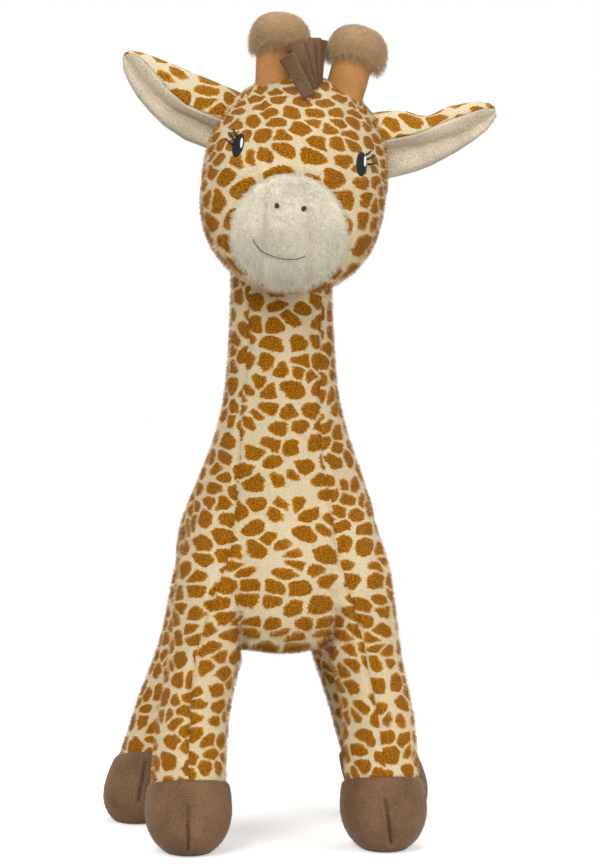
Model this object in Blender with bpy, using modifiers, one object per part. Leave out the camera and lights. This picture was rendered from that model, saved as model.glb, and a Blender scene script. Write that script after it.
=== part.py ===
"""Standing plush giraffe: sewn fabric shells over stuffing, with soft seams as hinges.

Metres, +Z up. The giraffe looks along -Y, its own left side is +X, and its soles rest on z = 0.
"""

import math

import bmesh
import bpy
from mathutils import Matrix, Vector

# Fabric and clearances
fabric = 0.002
seam_gap = 0.0003
filling_gap = 0.0006
running_gap = 0.0009
overrun = 0.06

# Trunk: one soft form from the belly to the top of the neck
belly_height = 0.138
back_height = 0.250
neck_base_height = 0.272
neck_top_height = 0.474
body_half_width = 0.080
body_half_length = 0.113
neck_half_width = 0.0385
neck_y = -0.030
body_y = 0.013
neck_hinge_radius = 0.047
neck_lean_limit = math.radians(12)
neck_back_rise = math.radians(35)
chest_slab_half_width = 0.022

# Legs, hooves and soles
front_hinge_y = -0.052
hind_hinge_y = 0.080
front_hinge_height = 0.185
hind_hinge_height = 0.180
front_hoof_spread = 0.072
hind_hoof_spread = 0.100
front_top_spread = 0.053
hind_top_spread = 0.047
front_splay_curve = 2.6
hind_splay_curve = 1.05
leg_half_width = 0.0285
leg_top_radius = 0.038
leg_top_half_width = 0.035
leg_swing_limit = math.radians(22)
hoof_height = 0.050
hoof_half_width = 0.0325
hoof_half_length = 0.038
toe_reach = 0.005
hoof_seam_tilt = math.radians(14)
sole_thickness = 0.002

# Head: an egg from the crown to the muzzle
skull_height = 0.505
skull_x = 0.0095
skull_y = -0.046
skull_radius = 0.0705
head_pitch = math.radians(42)
head_roll = math.radians(9.3)
head_yaw = math.radians(-4)
muzzle_seam_tilt = math.radians(14)
muzzle_seam_reach = 0.047
muzzle_patch_radius = 0.0435
muzzle_patch_drop = 0.029

# Ossicones
ossicone_spacing = 0.0232
ossicone_y = -0.006
ossicone_splay = math.radians(6)
stem_radius = 0.0143
stem_length = 0.042
knob_radius = 0.0235
knob_height = 0.034
ossicone_stand = 0.0395

# Ears
ear_length = 0.085
ear_half_width = 0.0230
ear_cup = 0.010
ear_inset = 0.0090
ear_base_z = 0.025
ear_base_y = 0.006
ear_rise = math.radians(20)
ear_sweep = math.radians(8)
ear_roll_radius = 0.0032
ear_swing_limit = math.radians(25)

# Face embroidery
eye_spacing = 0.0465
eye_rise = 0.011
eye_half_width = 0.0051
eye_half_height = 0.0088
thread = 0.0012
glint_radius = 0.0016
lash_length = 0.0062
nostril_spacing = 0.0102
nostril_rise = -0.027
nostril_radius = 0.0023
mouth_half_width = 0.0205
mouth_drop = -0.0655
mouth_curve = 0.0055

# Forelock strips and mane fringe
strip_width = 0.0110
strip_thickness = 0.0034
strip_pitch = 0.0042
forelock_y = -0.043
forelock_length = 0.045
mane_thickness = 0.010
mane_depth = 0.016
mane_notch = 0.35

# Tail
tail_root_height = 0.213
tail_root_inset = 0.0007
tail_length = 0.046
tail_radius = 0.0078
tuft_length = 0.032
tuft_radius = 0.0110
tail_lean = math.radians(20)

# Where the middle of the outline lies, so that the origin is under its centre
centre_x = 0.0157
centre_y = 0.0055

# Sides of the soft forms' cages; one subdivision doubles them
trunk_sides = 10
leg_sides = 6
head_sides = 10
# Sides of small turned pieces, and steps of an arc
small_sides = 14
arc_steps = 14

# Shares of the belly's rise, of the body's shift along Y, of its half width and of its half length
body_shares = [
    (0, 1, 0.30, 0.50),
    (0.10, 1, 0.66, 0.82),
    (0.30, 1, 0.92, 0.97),
    (0.56, 1, 1, 1),
    (0.80, 0.60, 1, 0.91),
]
# Shoulders: shares of the neck's place along Y, and of the body's half width and half length
back_shares = (0.30, 0.93, 0.68)
neck_base_shares = (0.80, 0.81, 0.49)
# Shares of the neck's rise, and of its half width across and along
neck_shares = [(0.16, 1.36, 1.20), (0.34, 1.13, 1.08), (0.58, 1.03, 1.01), (0.80, 1, 1), (1, 1, 1)]

# Sole: shares of the hoof's half width and half length
sole_shares = (0.86, 0.88)
# Shares of the hoof's height, of the toe's reach, and of the hoof's half width and half length
hoof_shares = [(0.22, 1, 1.02, 1), (0.62, 0.8, 1, 0.94)]
# Shares of the shaft's length, and of the leg's half width across and along
shaft_shares = [(0.015, 1, 1.06), (0.36, 0.99, 1), (0.70, 1.05, 1.10)]
# Round top: shares of its radius above the hinge, of its half width and of its radius
leg_top_shares = [(0, 1, 0.98), (0.62, 0.86, 0.86), (1.05, 0.50, 0.50)]

# Head: shares of the skull's radius along the egg, across it and from front to back
egg_shares = [
    (-0.99, 0.34, 0.34),
    (-0.84, 0.66, 0.66),
    (-0.50, 0.93, 0.93),
    (-0.05, 1.00, 1.00),
    (0.36, 1.00, 0.97),
    (0.73, 0.98, 0.86),
    (1.06, 0.91, 0.72),
    (1.36, 0.78, 0.60),
    (1.57, 0.58, 0.45),
    (1.66, 0.26, 0.22),
]
# Shares of the ear's length, with the width's share there, and of its half width across
ear_width_shares = [(0, 0.95), (0.22, 1.04), (0.52, 0.95), (0.82, 0.70), (1.0, 0.28)]
ear_across_shares = [-1.0, 0, 1.0]
# Forelock strips: their tips, across and up, as shares of the forelock's length
strip_tip_shares = [(-0.42, 1.81), (-0.10, 2.13), (-0.30, 2.07), (0.06, 2.20), (0.19, 2.14)]
# Where the strips and the head's fringe are rooted, as shares of the skull's radius
strip_root_share = 0.62
crest_root_share = 0.86
# Where the fringe of the neck starts and ends, as shares of the neck's rise
mane_start_share = 0.18
mane_end_share = 0.62
mane_root_share = 0.7
# Tail: radius along the tube, and the tuft's profile of radius and height
tail_radius_shares = [1, 0.85, 0.75]
tail_ball_share = 1.04
tuft_shares = [(0, 0), (0.45, -0.03), (0.85, -0.25), (1.0, -0.50), (0.80, -0.78), (0.40, -0.96), (0, -1.0)]


for old in list(bpy.data.objects):
    bpy.data.objects.remove(old)

parts = bpy.data.collections.new("plush_giraffe")
cutters = bpy.data.collections.new("cutters")
bpy.context.scene.collection.children.link(parts)
bpy.context.scene.collection.children.link(cutters)


# Materials
def fabric_material(name, colour, roughness=0.9):
    material = bpy.data.materials.new(name)
    material.use_nodes = True
    shader = material.node_tree.nodes["Principled BSDF"]
    shader.inputs["Base Color"].default_value = (*colour, 1)
    shader.inputs["Roughness"].default_value = roughness
    shader.inputs["Metallic"].default_value = 0
    material.diffuse_color = (*colour, 1)
    return material


spotted = fabric_material("spotted_plush", (0.62, 0.36, 0.12))
beige = fabric_material("beige_pile", (0.68, 0.62, 0.50))
taupe = fabric_material("taupe_velour", (0.17, 0.11, 0.08))
tan = fabric_material("tan_knit", (0.61, 0.30, 0.11))
brown_pile = fabric_material("brown_pile", (0.41, 0.29, 0.18))
black = fabric_material("black_thread", (0.01, 0.01, 0.01), 0.5)
white = fabric_material("white_thread", (0.85, 0.85, 0.85), 0.5)
dark_brown = fabric_material("dark_brown_thread", (0.05, 0.03, 0.02), 0.6)
filling = fabric_material("polyester_filling", (0.85, 0.85, 0.83))


# The empty that carries the whole giraffe
def add_empty(name, location, parent=None, rotation=(0, 0, 0)):
    empty = bpy.data.objects.new(name, None)
    parts.objects.link(empty)
    empty.location = location
    empty.rotation_euler = rotation
    empty.parent = parent
    return empty


giraffe = add_empty("giraffe", (-centre_x, -centre_y, 0))
head_frame = add_empty("head_frame", (skull_x, skull_y, skull_height), giraffe, (0, head_roll, head_yaw))


# Building blocks
def add_object(name, mesh, material, parent=giraffe):
    obj = bpy.data.objects.new(name, mesh)
    parts.objects.link(obj)
    obj.parent = parent
    if material:
        mesh.materials.clear()
        mesh.materials.append(material)
    return obj


def as_cutter(obj):
    parts.objects.unlink(obj)
    cutters.objects.link(obj)
    obj.hide_render = True
    obj.display_type = "WIRE"
    return obj


def boolean(obj, operation, *others):
    for other in others:
        modifier = obj.modifiers.new(operation.lower(), "BOOLEAN")
        modifier.operation = operation
        modifier.object = other
    return obj


def mesh_from(bm, name, smooth=True):
    bmesh.ops.recalc_face_normals(bm, faces=bm.faces)
    mesh = bpy.data.meshes.new(name)
    bm.to_mesh(mesh)
    bm.free()
    if smooth:
        mesh.shade_smooth()
    return mesh


def round_cage(stations, sides):
    """A closed cage of rings; each station is (x, y, z, half_x, half_y) in real sizes.

    One subdivision draws a ring in, so the cage is swollen by as much.
    """
    swell = 4 / (3 + math.cos(2 * math.pi / sides))
    bm = bmesh.new()
    rings = []
    for x, y, z, half_x, half_y in stations:
        ring = []
        for i in range(sides):
            turn = 2 * math.pi * i / sides
            place = (x + half_x * swell * math.cos(turn), y + half_y * swell * math.sin(turn), z)
            ring.append(bm.verts.new(place))
        rings.append(ring)
    for lower, upper in zip(rings, rings[1:]):
        for i in range(sides):
            j = (i + 1) % sides
            bm.faces.new((lower[i], lower[j], upper[j], upper[i]))
    bm.faces.new(rings[0][::-1])
    bm.faces.new(rings[-1])
    return bm


def soft_object(name, mesh, material, parent=giraffe, inflate=0):
    """The cage rounded by a subdivision; inflate moves the surface out, or in where it is negative."""
    obj = add_object(name, mesh.copy(), material, parent)
    rounding = obj.modifiers.new("rounding", "SUBSURF")
    rounding.levels = 1
    rounding.render_levels = 1
    obj.modifiers.new("same_diagonals", "TRIANGULATE")
    if inflate:
        offset = obj.modifiers.new("offset", "DISPLACE")
        offset.mid_level = 0
        offset.strength = inflate
    return obj


def solid_from_curve(name, curve_object, material, parent=giraffe):
    """A curve object made a closed mesh, so that it can cut or be cut."""
    bpy.context.view_layer.update()
    graph = bpy.context.evaluated_depsgraph_get()
    mesh = bpy.data.meshes.new_from_object(curve_object.evaluated_get(graph))
    bm = bmesh.new()
    bm.from_mesh(mesh)
    bmesh.ops.remove_doubles(bm, verts=bm.verts, dist=seam_gap / 10)
    bmesh.ops.recalc_face_normals(bm, faces=bm.faces)
    bm.to_mesh(mesh)
    bm.free()
    bpy.data.objects.remove(curve_object)
    return add_object(name, mesh, material, parent)


def side_plate(name, outline, x_low, x_high, material=None, parent=giraffe):
    """An outline of (y, z) points, as thick as from x_low to x_high."""
    curve = bpy.data.curves.new(name, "CURVE")
    curve.dimensions = "2D"
    curve.fill_mode = "BOTH"
    curve.extrude = (x_high - x_low) / 2
    spline = curve.splines.new("POLY")
    spline.points.add(len(outline) - 1)
    spline.use_cyclic_u = True
    for point, (y, z) in zip(spline.points, outline):
        point.co = (y, z, 0, 1)
    flat = bpy.data.objects.new(name + "_outline", curve)
    parts.objects.link(flat)
    plate = solid_from_curve(name, flat, material, parent)
    stand_up = Matrix(((0, 0, 1, (x_low + x_high) / 2), (1, 0, 0, 0), (0, 1, 0, 0), (0, 0, 0, 1)))
    plate.data.transform(stand_up)
    return plate


def turned(name, profile, material, parent=giraffe, steps=small_sides):
    """A profile of (radius, z) points, from top to bottom, turned about the object's own Z."""
    mesh = bpy.data.meshes.new(name)
    edges = [(i, i + 1) for i in range(len(profile) - 1)]
    mesh.from_pydata([(radius, 0, z) for radius, z in profile], edges, [])
    obj = add_object(name, mesh, material, parent)
    screw = obj.modifiers.new("turn", "SCREW")
    screw.steps = steps
    screw.render_steps = steps
    screw.use_merge_vertices = True
    screw.merge_threshold = seam_gap / 10
    return obj


def tube(name, points, radius, material, parent=giraffe, radii_shares=None):
    """A round tube through the points, with filled caps."""
    curve = bpy.data.curves.new(name, "CURVE")
    curve.dimensions = "3D"
    curve.bevel_depth = radius
    curve.bevel_resolution = 2
    curve.use_fill_caps = True
    spline = curve.splines.new("POLY")
    spline.points.add(len(points) - 1)
    for i, place in enumerate(points):
        spline.points[i].co = (*place, 1)
        spline.points[i].radius = radii_shares[i] if radii_shares else 1
    obj = bpy.data.objects.new(name + "_curve", curve)
    parts.objects.link(obj)
    return solid_from_curve(name, obj, material, parent)


def arc(radius, start, end, steps, centre=(0, 0)):
    """Points of an arc in a plane, from one angle to another."""
    turns = [start + (end - start) * i / steps for i in range(steps + 1)]
    return [(centre[0] + radius * math.cos(t), centre[1] + radius * math.sin(t)) for t in turns]


# Trunk: its stations run from the belly to the top of the neck
rise = back_height - belly_height
neck_rise = neck_top_height - neck_base_height
trunk_stations = []
for up, shift, across, along in body_shares:
    height = belly_height + rise * up
    trunk_stations.append((0, body_y * shift, height, body_half_width * across, body_half_length * along))
for height, shoulder_shares in ((back_height, back_shares), (neck_base_height, neck_base_shares)):
    shift, across, along = shoulder_shares
    trunk_stations.append((0, neck_y * shift, height, body_half_width * across, body_half_length * along))
for up, across, along in neck_shares:
    height = neck_base_height + neck_rise * up
    trunk_stations.append((0, neck_y, height, neck_half_width * across, neck_half_width * along))
trunk_mesh = mesh_from(round_cage(trunk_stations, trunk_sides), "trunk")
trunk_cavity = as_cutter(soft_object("trunk_cavity", trunk_mesh, None, inflate=-fabric))

# The neck leans on an axis along X, so its lower end is round about that axis
cradle_radius = neck_hinge_radius + running_gap
far = body_half_length + overrun
hinge_point = (neck_y, neck_base_height)
rim_clearance = neck_lean_limit * 1.2


def out_from_hinge(turn):
    return neck_y + far * math.cos(turn), neck_base_height + far * math.sin(turn)


cradle_front = math.pi + rim_clearance
cradle_back = 2 * math.pi + neck_back_rise - rim_clearance
cradle_outline = arc(cradle_radius, cradle_front, cradle_back, arc_steps, hinge_point) + [
    out_from_hinge(cradle_back),
    (neck_y + far, neck_top_height + far),
    (neck_y - far, neck_top_height + far),
    out_from_hinge(cradle_front),
]
neck_end_back = 2 * math.pi + neck_back_rise
below_outline = arc(neck_hinge_radius, math.pi, neck_end_back, arc_steps, hinge_point) + [
    out_from_hinge(neck_end_back),
    (neck_y + far, -overrun),
    (neck_y - far, -overrun),
    out_from_hinge(math.pi),
]
reach_x = body_half_width + overrun
cradle_cutter = as_cutter(side_plate("neck_cradle_cut", cradle_outline, -reach_x, reach_x))
below_cutter = as_cutter(side_plate("below_neck_cut", below_outline, -reach_x, reach_x))

# Leg pockets in the torso, wide enough for the swing
pocket_radius = leg_top_radius + running_gap
pocket_flare = leg_swing_limit * 1.1


def pocket_outline(hinge_y, hinge_z):
    down = hinge_z + overrun
    top = arc(pocket_radius, pocket_flare, math.pi - pocket_flare, arc_steps, (hinge_y, hinge_z))
    spread = down * math.tan(pocket_flare)
    return top + [(top[-1][0] - spread, top[-1][1] - down), (top[0][0] + spread, top[0][1] - down)]


legs = {
    "front_left": (1, front_hinge_y, front_hinge_height, front_hoof_spread),
    "front_right": (-1, front_hinge_y, front_hinge_height, front_hoof_spread),
    "hind_left": (1, hind_hinge_y, hind_hinge_height, hind_hoof_spread),
    "hind_right": (-1, hind_hinge_y, hind_hinge_height, hind_hoof_spread),
}
leg_lines = {"front": (front_top_spread, front_splay_curve), "hind": (hind_top_spread, hind_splay_curve)}
pocket_cutters = []
for leg_name, (side, hinge_y, hinge_z, spread) in legs.items():
    near, out = sorted((side * chest_slab_half_width, side * reach_x))
    pocket = side_plate(leg_name + "_pocket_cut", pocket_outline(hinge_y, hinge_z), near, out)
    pocket_cutters.append(as_cutter(pocket))

torso_skin = soft_object("torso_skin", trunk_mesh, spotted)
boolean(torso_skin, "DIFFERENCE", trunk_cavity, cradle_cutter, *pocket_cutters)
torso_stuffing = soft_object("torso_stuffing", trunk_mesh, filling, inflate=-fabric - filling_gap)
boolean(torso_stuffing, "DIFFERENCE", cradle_cutter, *pocket_cutters)
neck_skin = soft_object("neck_skin", trunk_mesh, spotted)
boolean(neck_skin, "DIFFERENCE", trunk_cavity, below_cutter)
neck_stuffing = soft_object("neck_stuffing", trunk_mesh, filling, inflate=-fabric - filling_gap)
boolean(neck_stuffing, "DIFFERENCE", below_cutter)


# Legs: a shaft with a round top, a velour hoof and a flat sole
def leg_stations(side, hinge_y, hinge_z, spread, top_spread, curve):
    """The shaft runs down from the shoulder or hip, leaning outwards to the hoof."""

    def across(z):
        return side * (spread + (top_spread - spread) * (z / hinge_z) ** curve)

    shaft = hinge_z - hoof_height
    toe_y = hinge_y - toe_reach
    sole_width, sole_length = sole_shares
    stations = [
        (across(0), toe_y, -sole_thickness, hoof_half_width * sole_width, hoof_half_length * sole_length)
    ]
    for up, toe, wide, long in hoof_shares:
        height = hoof_height * up
        shift = hinge_y - toe_reach * toe
        stations.append((across(height), shift, height, hoof_half_width * wide, hoof_half_length * long))
    for up, wide, long in shaft_shares:
        height = hoof_height + shaft * up
        stations.append((across(height), hinge_y, height, leg_half_width * wide, leg_half_width * long))
    for up, wide, long in leg_top_shares:
        height = hinge_z + leg_top_radius * up
        stations.append((across(hinge_z), hinge_y, height, leg_top_half_width * wide, leg_top_radius * long))
    return stations


def leg_limit_outline(hinge_y, hinge_z):
    """Round about the hinge above it, and free below it."""
    wide = leg_top_radius + overrun
    return arc(leg_top_radius, 0, math.pi, arc_steps, (hinge_y, hinge_z)) + [
        (hinge_y - wide, hinge_z),
        (hinge_y - wide, -overrun),
        (hinge_y + wide, -overrun),
        (hinge_y + wide, hinge_z),
    ]


hinge_top = back_height + overrun


def seam_outline(hinge_y, lift, up):
    """Everything above, or below, the sloping line where hoof and leg are sewn."""
    wide = leg_top_radius + overrun
    slope = wide * math.tan(hoof_seam_tilt)
    level = hoof_height + lift
    end = hinge_top if up else -overrun
    return [
        (hinge_y - wide, level + slope),
        (hinge_y + wide, level - slope),
        (hinge_y + wide, end),
        (hinge_y - wide, end),
    ]


for leg_name, (side, hinge_y, hinge_z, spread) in legs.items():
    stations = leg_stations(side, hinge_y, hinge_z, spread, *leg_lines[leg_name.split("_")[0]])
    leg_mesh = mesh_from(round_cage(stations, leg_sides), leg_name + "_leg")
    near, out = sorted((side * (chest_slab_half_width + seam_gap), side * (reach_x + spread)))
    limit = as_cutter(side_plate(leg_name + "_limit", leg_limit_outline(hinge_y, hinge_z), near, out))
    cavity = as_cutter(soft_object(leg_name + "_leg_cavity", leg_mesh, None, inflate=-fabric))
    inner, outer = sorted((0, side * (reach_x + spread)))
    above = seam_outline(hinge_y, 0, True)
    over_seam = as_cutter(side_plate(leg_name + "_over_seam", above, inner, outer))
    below = seam_outline(hinge_y, seam_gap, False)
    under_seam = as_cutter(side_plate(leg_name + "_under_seam", below, inner, outer))
    ground = [
        (hinge_y - far, sole_thickness + seam_gap),
        (hinge_y + far, sole_thickness + seam_gap),
        (hinge_y + far, -overrun),
        (hinge_y - far, -overrun),
    ]
    floor_cut = as_cutter(side_plate(leg_name + "_floor_cut", ground, inner, outer))
    skin = soft_object(leg_name + "_leg_skin", leg_mesh, spotted)
    boolean(skin, "INTERSECT", limit)
    boolean(skin, "DIFFERENCE", cavity, under_seam)
    hoof = soft_object(leg_name + "_hoof", leg_mesh, taupe)
    boolean(hoof, "DIFFERENCE", cavity, over_seam, floor_cut)
    core = soft_object(leg_name + "_leg_stuffing", leg_mesh, filling, inflate=-fabric - filling_gap)
    boolean(core, "INTERSECT", limit)
    boolean(core, "DIFFERENCE", floor_cut)
    sole_shape = soft_object(leg_name + "_sole", leg_mesh, taupe)
    slab_outline = [
        (hinge_y - far, 0),
        (hinge_y + far, 0),
        (hinge_y + far, sole_thickness),
        (hinge_y - far, sole_thickness),
    ]
    slab = as_cutter(side_plate(leg_name + "_sole_slab", slab_outline, inner, outer))
    boolean(sole_shape, "INTERSECT", slab)

# Head: an egg along its own Z, from the crown to the tip of the muzzle
head_stations = [(0, 0, skull_radius * z, skull_radius * x, skull_radius * y) for z, x, y in egg_shares]
# In the head frame the egg's axis points forwards and down
egg_turn = Matrix.Rotation(math.pi / 2 + head_pitch, 4, "X")
head_mesh = mesh_from(round_cage(head_stations, head_sides), "head")
head_mesh.transform(egg_turn)
head_cavity = as_cutter(soft_object("head_cavity", head_mesh, None, head_frame, -fabric))
head_clearance = as_cutter(soft_object("head_clearance", head_mesh, None, head_frame, seam_gap))

# The head turns about the neck's upright axis, over the round neck top
socket_radius = neck_half_width + filling_gap
socket_profile = [
    (0, neck_top_height + running_gap),
    (socket_radius, neck_top_height + running_gap),
    (socket_radius, neck_base_height),
    (0, neck_base_height),
]
neck_socket = as_cutter(turned("neck_socket_cut", socket_profile, None, steps=trunk_sides * 3))
neck_socket.location = (0, neck_y, 0)


# The round seam of the muzzle patch: a cylinder ahead of a plane inside the head
muzzle_way = Vector((0, -math.cos(muzzle_seam_tilt), -math.sin(muzzle_seam_tilt)))


def muzzle_plug(name, radius, reach):
    length = skull_radius * 2
    bm = bmesh.new()
    bmesh.ops.create_cone(
        bm, cap_ends=True, segments=24, radius1=radius, radius2=radius, depth=length
    )
    plug = add_object(name, mesh_from(bm, name), None, head_frame)
    plug.rotation_euler = muzzle_way.to_track_quat("Z", "Y").to_euler()
    plug.location = Vector((0, 0, -muzzle_patch_drop)) + muzzle_way * (reach + length / 2)
    return as_cutter(plug)


patch_space = muzzle_plug("muzzle_patch_space", muzzle_patch_radius, muzzle_seam_reach)
patch_limit = muzzle_plug(
    "muzzle_patch_limit", muzzle_patch_radius - seam_gap, muzzle_seam_reach + seam_gap
)


# Ears: a cupped sheet of spotted plush, with a pile lining, on a rolled root
def ear_axes(side):
    """Outward, up along the root, and forwards."""
    out = Vector((side * math.cos(ear_rise), 0, math.sin(ear_rise)))
    out = Matrix.Rotation(side * ear_sweep, 3, "Z") @ out
    forwards = Vector((0, -1, 0))
    up = (out.cross(forwards) * side).normalized()
    if up.z < 0:
        up = -up
    forwards = up.cross(out).normalized()
    if forwards.y > 0:
        forwards = -forwards
    return out, up, forwards


def ear_sheet(side):
    out, up, forwards = ear_axes(side)
    root = Vector((side * (skull_radius - ear_inset), ear_base_y, ear_base_z))
    bm = bmesh.new()
    rows = []
    for along, width in ear_width_shares:
        row = []
        for across in ear_across_shares:
            place = root + out * (ear_roll_radius / 2 + ear_length * along)
            place += up * ear_half_width * width * across
            place += forwards * ear_cup * across * across * min(1, along * 4)
            row.append(bm.verts.new(place))
        rows.append(row)
    for lower, upper in zip(rows, rows[1:]):
        for i in range(len(ear_across_shares) - 1):
            bm.faces.new((lower[i], lower[i + 1], upper[i + 1], upper[i]))
    mesh = bpy.data.meshes.new("ear_sheet")
    bm.to_mesh(mesh)
    bm.free()
    mesh.shade_smooth()
    return mesh, root, out, up, forwards


def ear_layer(name, mesh, material, thickness, lift):
    """One fabric of the ear: lift is how far its middle stands before the sheet."""
    layer = soft_object(name, mesh, material, head_frame, lift)
    skin = layer.modifiers.new("fabric", "SOLIDIFY")
    skin.thickness = thickness
    skin.offset = 0
    skin.use_even_offset = True
    return layer


ear_grooves = []
for side, side_name in ((1, "left"), (-1, "right")):
    mesh, root, out, up, forwards = ear_sheet(side)
    facing = 1 if mesh.polygons[0].normal.dot(forwards) > 0 else -1
    step = (fabric + seam_gap) / 2
    back = ear_layer(f"ear_{side_name}_back", mesh, spotted, fabric, -facing * step)
    root_length = ear_half_width * 2 * ear_width_shares[0][1]
    low = root - up * root_length / 2
    high = root + up * root_length / 2
    roll = as_cutter(tube(f"ear_{side_name}_roll", [low, high], ear_roll_radius, None, head_frame))
    boolean(back, "UNION", roll)
    lining = ear_layer(f"ear_{side_name}_lining", mesh, beige, fabric, facing * step)
    clear_low = low - up * running_gap
    clear_high = high + up * running_gap
    clear_ends = [clear_low, clear_high]
    roll_gap_radius = ear_roll_radius + seam_gap * 2
    roll_gap = as_cutter(tube(f"ear_{side_name}_roll_gap", clear_ends, roll_gap_radius, None, head_frame))
    boolean(lining, "DIFFERENCE", roll_gap)
    groove_radius = ear_roll_radius + running_gap / 2
    ear_grooves.append(as_cutter(tube(f"ear_{side_name}_groove", clear_ends, groove_radius, None, head_frame)))
    # The wedge in which the ear swings, cut clear of the head
    wedge_reach = ear_roll_radius * 6
    swing = ear_swing_limit * 1.15
    spread_out = wedge_reach * math.tan(swing) + fabric * 2
    bm = bmesh.new()
    corners = []
    for place in (low - up * running_gap, high + up * running_gap):
        for reach, half in ((0, fabric * 1.6), (wedge_reach, spread_out)):
            for sign in (-1, 1):
                corners.append(bm.verts.new(place + out * reach + forwards * sign * half))
    bmesh.ops.convex_hull(bm, input=corners)
    wedge = add_object(f"ear_{side_name}_wedge", mesh_from(bm, "wedge", False), None, head_frame)
    ear_grooves.append(as_cutter(wedge))

head_skin = soft_object("head_skin", head_mesh, spotted, head_frame)
boolean(head_skin, "DIFFERENCE", head_cavity, neck_socket, patch_space, *ear_grooves)
muzzle = soft_object("muzzle", head_mesh, beige, head_frame)
boolean(muzzle, "DIFFERENCE", head_cavity, neck_socket)
boolean(muzzle, "INTERSECT", patch_limit)
head_stuffing = soft_object("head_stuffing", head_mesh, filling, head_frame, -fabric - filling_gap)
boolean(head_stuffing, "DIFFERENCE", neck_socket, *ear_grooves)


# Ossicones: a knit stem and a pile knob over one stuffed core
def arc_profile(radius_x, radius_z, centre_z, start, end, steps):
    return [(x * radius_x, centre_z + z * radius_z) for x, z in arc(1, start, end, steps)]


stem_inner = stem_radius - fabric
core_radius = stem_inner - seam_gap
knob_middle = stem_length + knob_height / 2
knob_inner_x = knob_radius - fabric
knob_inner_z = knob_height / 2 - fabric
mouth = math.acos((stem_radius + seam_gap) / knob_radius)
for side, side_name in ((1, "left"), (-1, "right")):
    lean = (0, side * ossicone_splay, 0)
    frame = add_empty(
        f"ossicone_{side_name}_frame",
        (side * ossicone_spacing, ossicone_y, skull_radius + ossicone_stand - stem_length - knob_height),
        head_frame,
        lean,
    )
    stem_top = stem_length - seam_gap
    stem_profile = [
        (stem_radius, stem_top),
        (stem_radius, 0),
        (stem_inner, 0),
        (stem_inner, stem_top),
        (stem_radius, stem_top),
    ]
    stem = turned(f"ossicone_{side_name}_stem", stem_profile, tan, frame)
    boolean(stem, "DIFFERENCE", head_clearance)
    outer = arc_profile(knob_radius, knob_height / 2, knob_middle, math.pi / 2, -mouth, 7)
    inner_mouth = math.acos(stem_inner / knob_inner_x)
    inner = arc_profile(knob_inner_x, knob_inner_z, knob_middle, -inner_mouth, math.pi / 2, 6)
    floor = [(stem_inner, outer[-1][1])]
    turned(f"ossicone_{side_name}_knob", outer + floor + inner, brown_pile, frame)
    head_fill = arc_profile(
        knob_inner_x - seam_gap,
        knob_inner_z - seam_gap,
        knob_middle,
        math.pi / 2,
        -math.acos(core_radius / (knob_inner_x - seam_gap)),
        6,
    )
    core_profile = head_fill + [(core_radius, 0), (0, 0)]
    core = turned(f"ossicone_{side_name}_stuffing", core_profile, filling, frame)
    boolean(core, "DIFFERENCE", head_clearance)

# Face embroidery, laid on the head's surface as seen from the front
bpy.context.view_layer.update()
head_surface = soft_object("head_surface", head_mesh, None, head_frame)
as_cutter(head_surface)
bpy.context.view_layer.update()
probe = head_surface.evaluated_get(bpy.context.evaluated_depsgraph_get())


def on_face(x, z):
    """The point of the head straight behind (x, z), and the way out of the surface there."""
    found, place, normal, _ = probe.ray_cast(Vector((x, -skull_radius * 4, z)), Vector((0, 1, 0)))
    return place, normal


def bead(name, x, z, half_x, half_z, depth, material, lift=0, turn=0):
    """A flat oval bead on the face, cut clear of the head's surface."""
    place, normal = on_face(x, z)
    bm = bmesh.new()
    bmesh.ops.create_uvsphere(bm, u_segments=12, v_segments=6, radius=1)
    bmesh.ops.scale(bm, vec=(half_x, half_z, depth), verts=bm.verts)
    obj = add_object(name, mesh_from(bm, name), material, head_frame)
    facing_out = normal.to_track_quat("Z", "Y").to_matrix()
    obj.rotation_euler = (facing_out @ Matrix.Rotation(turn, 3, "Z")).to_euler()
    obj.location = place + normal * lift
    return obj


def surface_tube(name, places, radius, material, parent=head_frame):
    """A thread over the face, its middle one radius and a gap above the surface."""
    points = []
    for x, z in places:
        place, normal = on_face(x, z)
        points.append(place + normal * (radius + seam_gap * 2))
    return tube(name, points, radius, material, parent)


for side, side_name in ((1, "left"), (-1, "right")):
    eye_x = side * eye_spacing
    lean = side * math.radians(-8)
    eye_depth = thread * 2
    eye_sizes = (eye_half_width, eye_half_height, eye_depth)
    eye = bead(f"eye_{side_name}", eye_x, eye_rise, *eye_sizes, black, 0, lean)
    boolean(eye, "DIFFERENCE", head_clearance)
    glint_x = eye_x - side * eye_half_width * 0.15
    glint_z = eye_rise + eye_half_height * 0.28
    glint_sizes = (glint_radius, glint_radius, thread / 4)
    bead(f"eye_{side_name}_glint", glint_x, glint_z, *glint_sizes, white, eye_depth * 1.2)
    for i in range(3):
        lash_turn = math.radians(62 - 30 * i)
        start_x = eye_x + side * (eye_half_width * math.cos(lash_turn) + thread)
        start_z = eye_rise + eye_half_height * math.sin(lash_turn) + thread / 2
        tip_turn = lash_turn * 0.75 + math.radians(8)
        tip_x = start_x + side * lash_length * math.cos(tip_turn)
        tip_z = start_z + lash_length * math.sin(tip_turn)
        middle = ((start_x + tip_x) / 2, (start_z + tip_z) / 2)
        lash_line = [(start_x, start_z), middle, (tip_x, tip_z)]
        lash = surface_tube(f"lash_{side_name}_{i + 1}", lash_line, thread / 2, black)
        boolean(lash, "DIFFERENCE", head_clearance)
    nostril = bead(
        f"nostril_{side_name}",
        side * nostril_spacing,
        nostril_rise,
        nostril_radius,
        nostril_radius * 1.2,
        thread,
        dark_brown,
    )
    boolean(nostril, "DIFFERENCE", head_clearance)

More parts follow.
